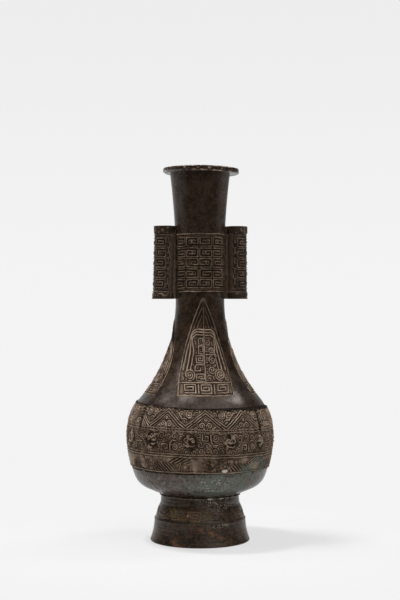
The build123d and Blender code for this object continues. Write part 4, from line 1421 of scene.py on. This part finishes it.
def pale_surround():
    """The world: a pale backdrop for the camera, and for light and reflections a room dark in front."""
    world = bpy.data.worlds.new("studio")
    world.use_nodes = True
    nodes = Nodes(world.node_tree)
    direction = nodes.add("TexCoord").outputs["Generated"]
    parts = nodes.add("SeparateXYZ", None, {0: direction}).outputs
    room = nodes.ramp(parts["Y"], ROOM_FROM, ROOM_TO, ROOM_DARK, ROOM_PALE)
    room = nodes.times(room, nodes.ramp(parts["X"], -ROOM_TURN, ROOM_TURN, 1.0, ROOM_RIGHT))
    backdrop = nodes.ramp(parts["Z"], 0.0, TOP_RISE, PALE, TOP_TONE)
    seen = nodes.add("LightPath").outputs["Is Camera Ray"]
    tone = nodes.add("Mix", None, {0: seen, 2: room, 3: backdrop}).outputs[0]
    nodes.fill(nodes.tree.nodes["Background"], {"Color": tone})
    bpy.context.scene.world = world
    return world


pale_surround()
print("surround set")

# %% [markdown]
# A small lamp nearly overhead is the main light. A large soft one in front on the right lifts the relief, two
# behind the shoulders give the body its pale edges, and a small one on the left gives the glint beside the
# front blade.

# %% Lamps
AIM = (0.0, 0.0, 0.12)
LAMPS = {                   # place and size in metres, and power in watts
    "key_top": ((-0.37, 0.04, 1.5), 0.2, 15.0),
    "front_right": ((0.7, -1.1, 1.5), 1.8, 15.0),
    "shoulder_left": ((-0.75, 0.4, 1.3), 0.4, 3.0),
    "shoulder_right": ((0.8, 0.2, 1.2), 0.4, 5.6),
    "glint_left": ((-0.9, -0.3, 1.0), 0.12, 2.1),
}


def soft_lamp(name, place, size, power):
    """A square soft box that faces the middle of the vase."""
    data = bpy.data.lights.new(name, "AREA")
    data.size = size
    data.energy = power
    lamp = bpy.data.objects.new(name, data)
    bpy.context.scene.collection.objects.link(lamp)
    away = np.array(place) - np.array(AIM)
    lean = math.atan2(math.hypot(away[0], away[1]), away[2])
    lamp.location = place
    lamp.rotation_euler = (lean, 0, math.atan2(away[0], -away[1]))
    return lamp


for name, settings in LAMPS.items():
    soft_lamp(name, *settings)
print(len(LAMPS), "soft lamps")

# %% [markdown]
# The camera is level, a little under a metre away and seven degrees to the left of the front blade. The long
# lens keeps the outline close to a true side view.

# %% Camera
LENS = 77.4                 # millimetres on a 36 mm long side
DISTANCE, EYE_HEIGHT = 0.8698, 0.1613


def camera_at(turn):
    """A level camera that looks at the vase's axis from a direction in degrees."""
    data = bpy.data.cameras.new("camera")
    data.lens = LENS
    camera = bpy.data.objects.new("camera", data)
    bpy.context.scene.collection.objects.link(camera)
    angle = math.radians(turn)
    camera.location = (DISTANCE * math.sin(angle), -DISTANCE * math.cos(angle), EYE_HEIGHT)
    camera.rotation_euler = (math.pi / 2, 0, angle)
    bpy.context.scene.camera = camera
    return camera


camera_at(CAMERA_TURN)
bpy.context.scene.view_settings.view_transform = "Standard"
print("camera", [round(v, 3) for v in bpy.context.scene.camera.location])
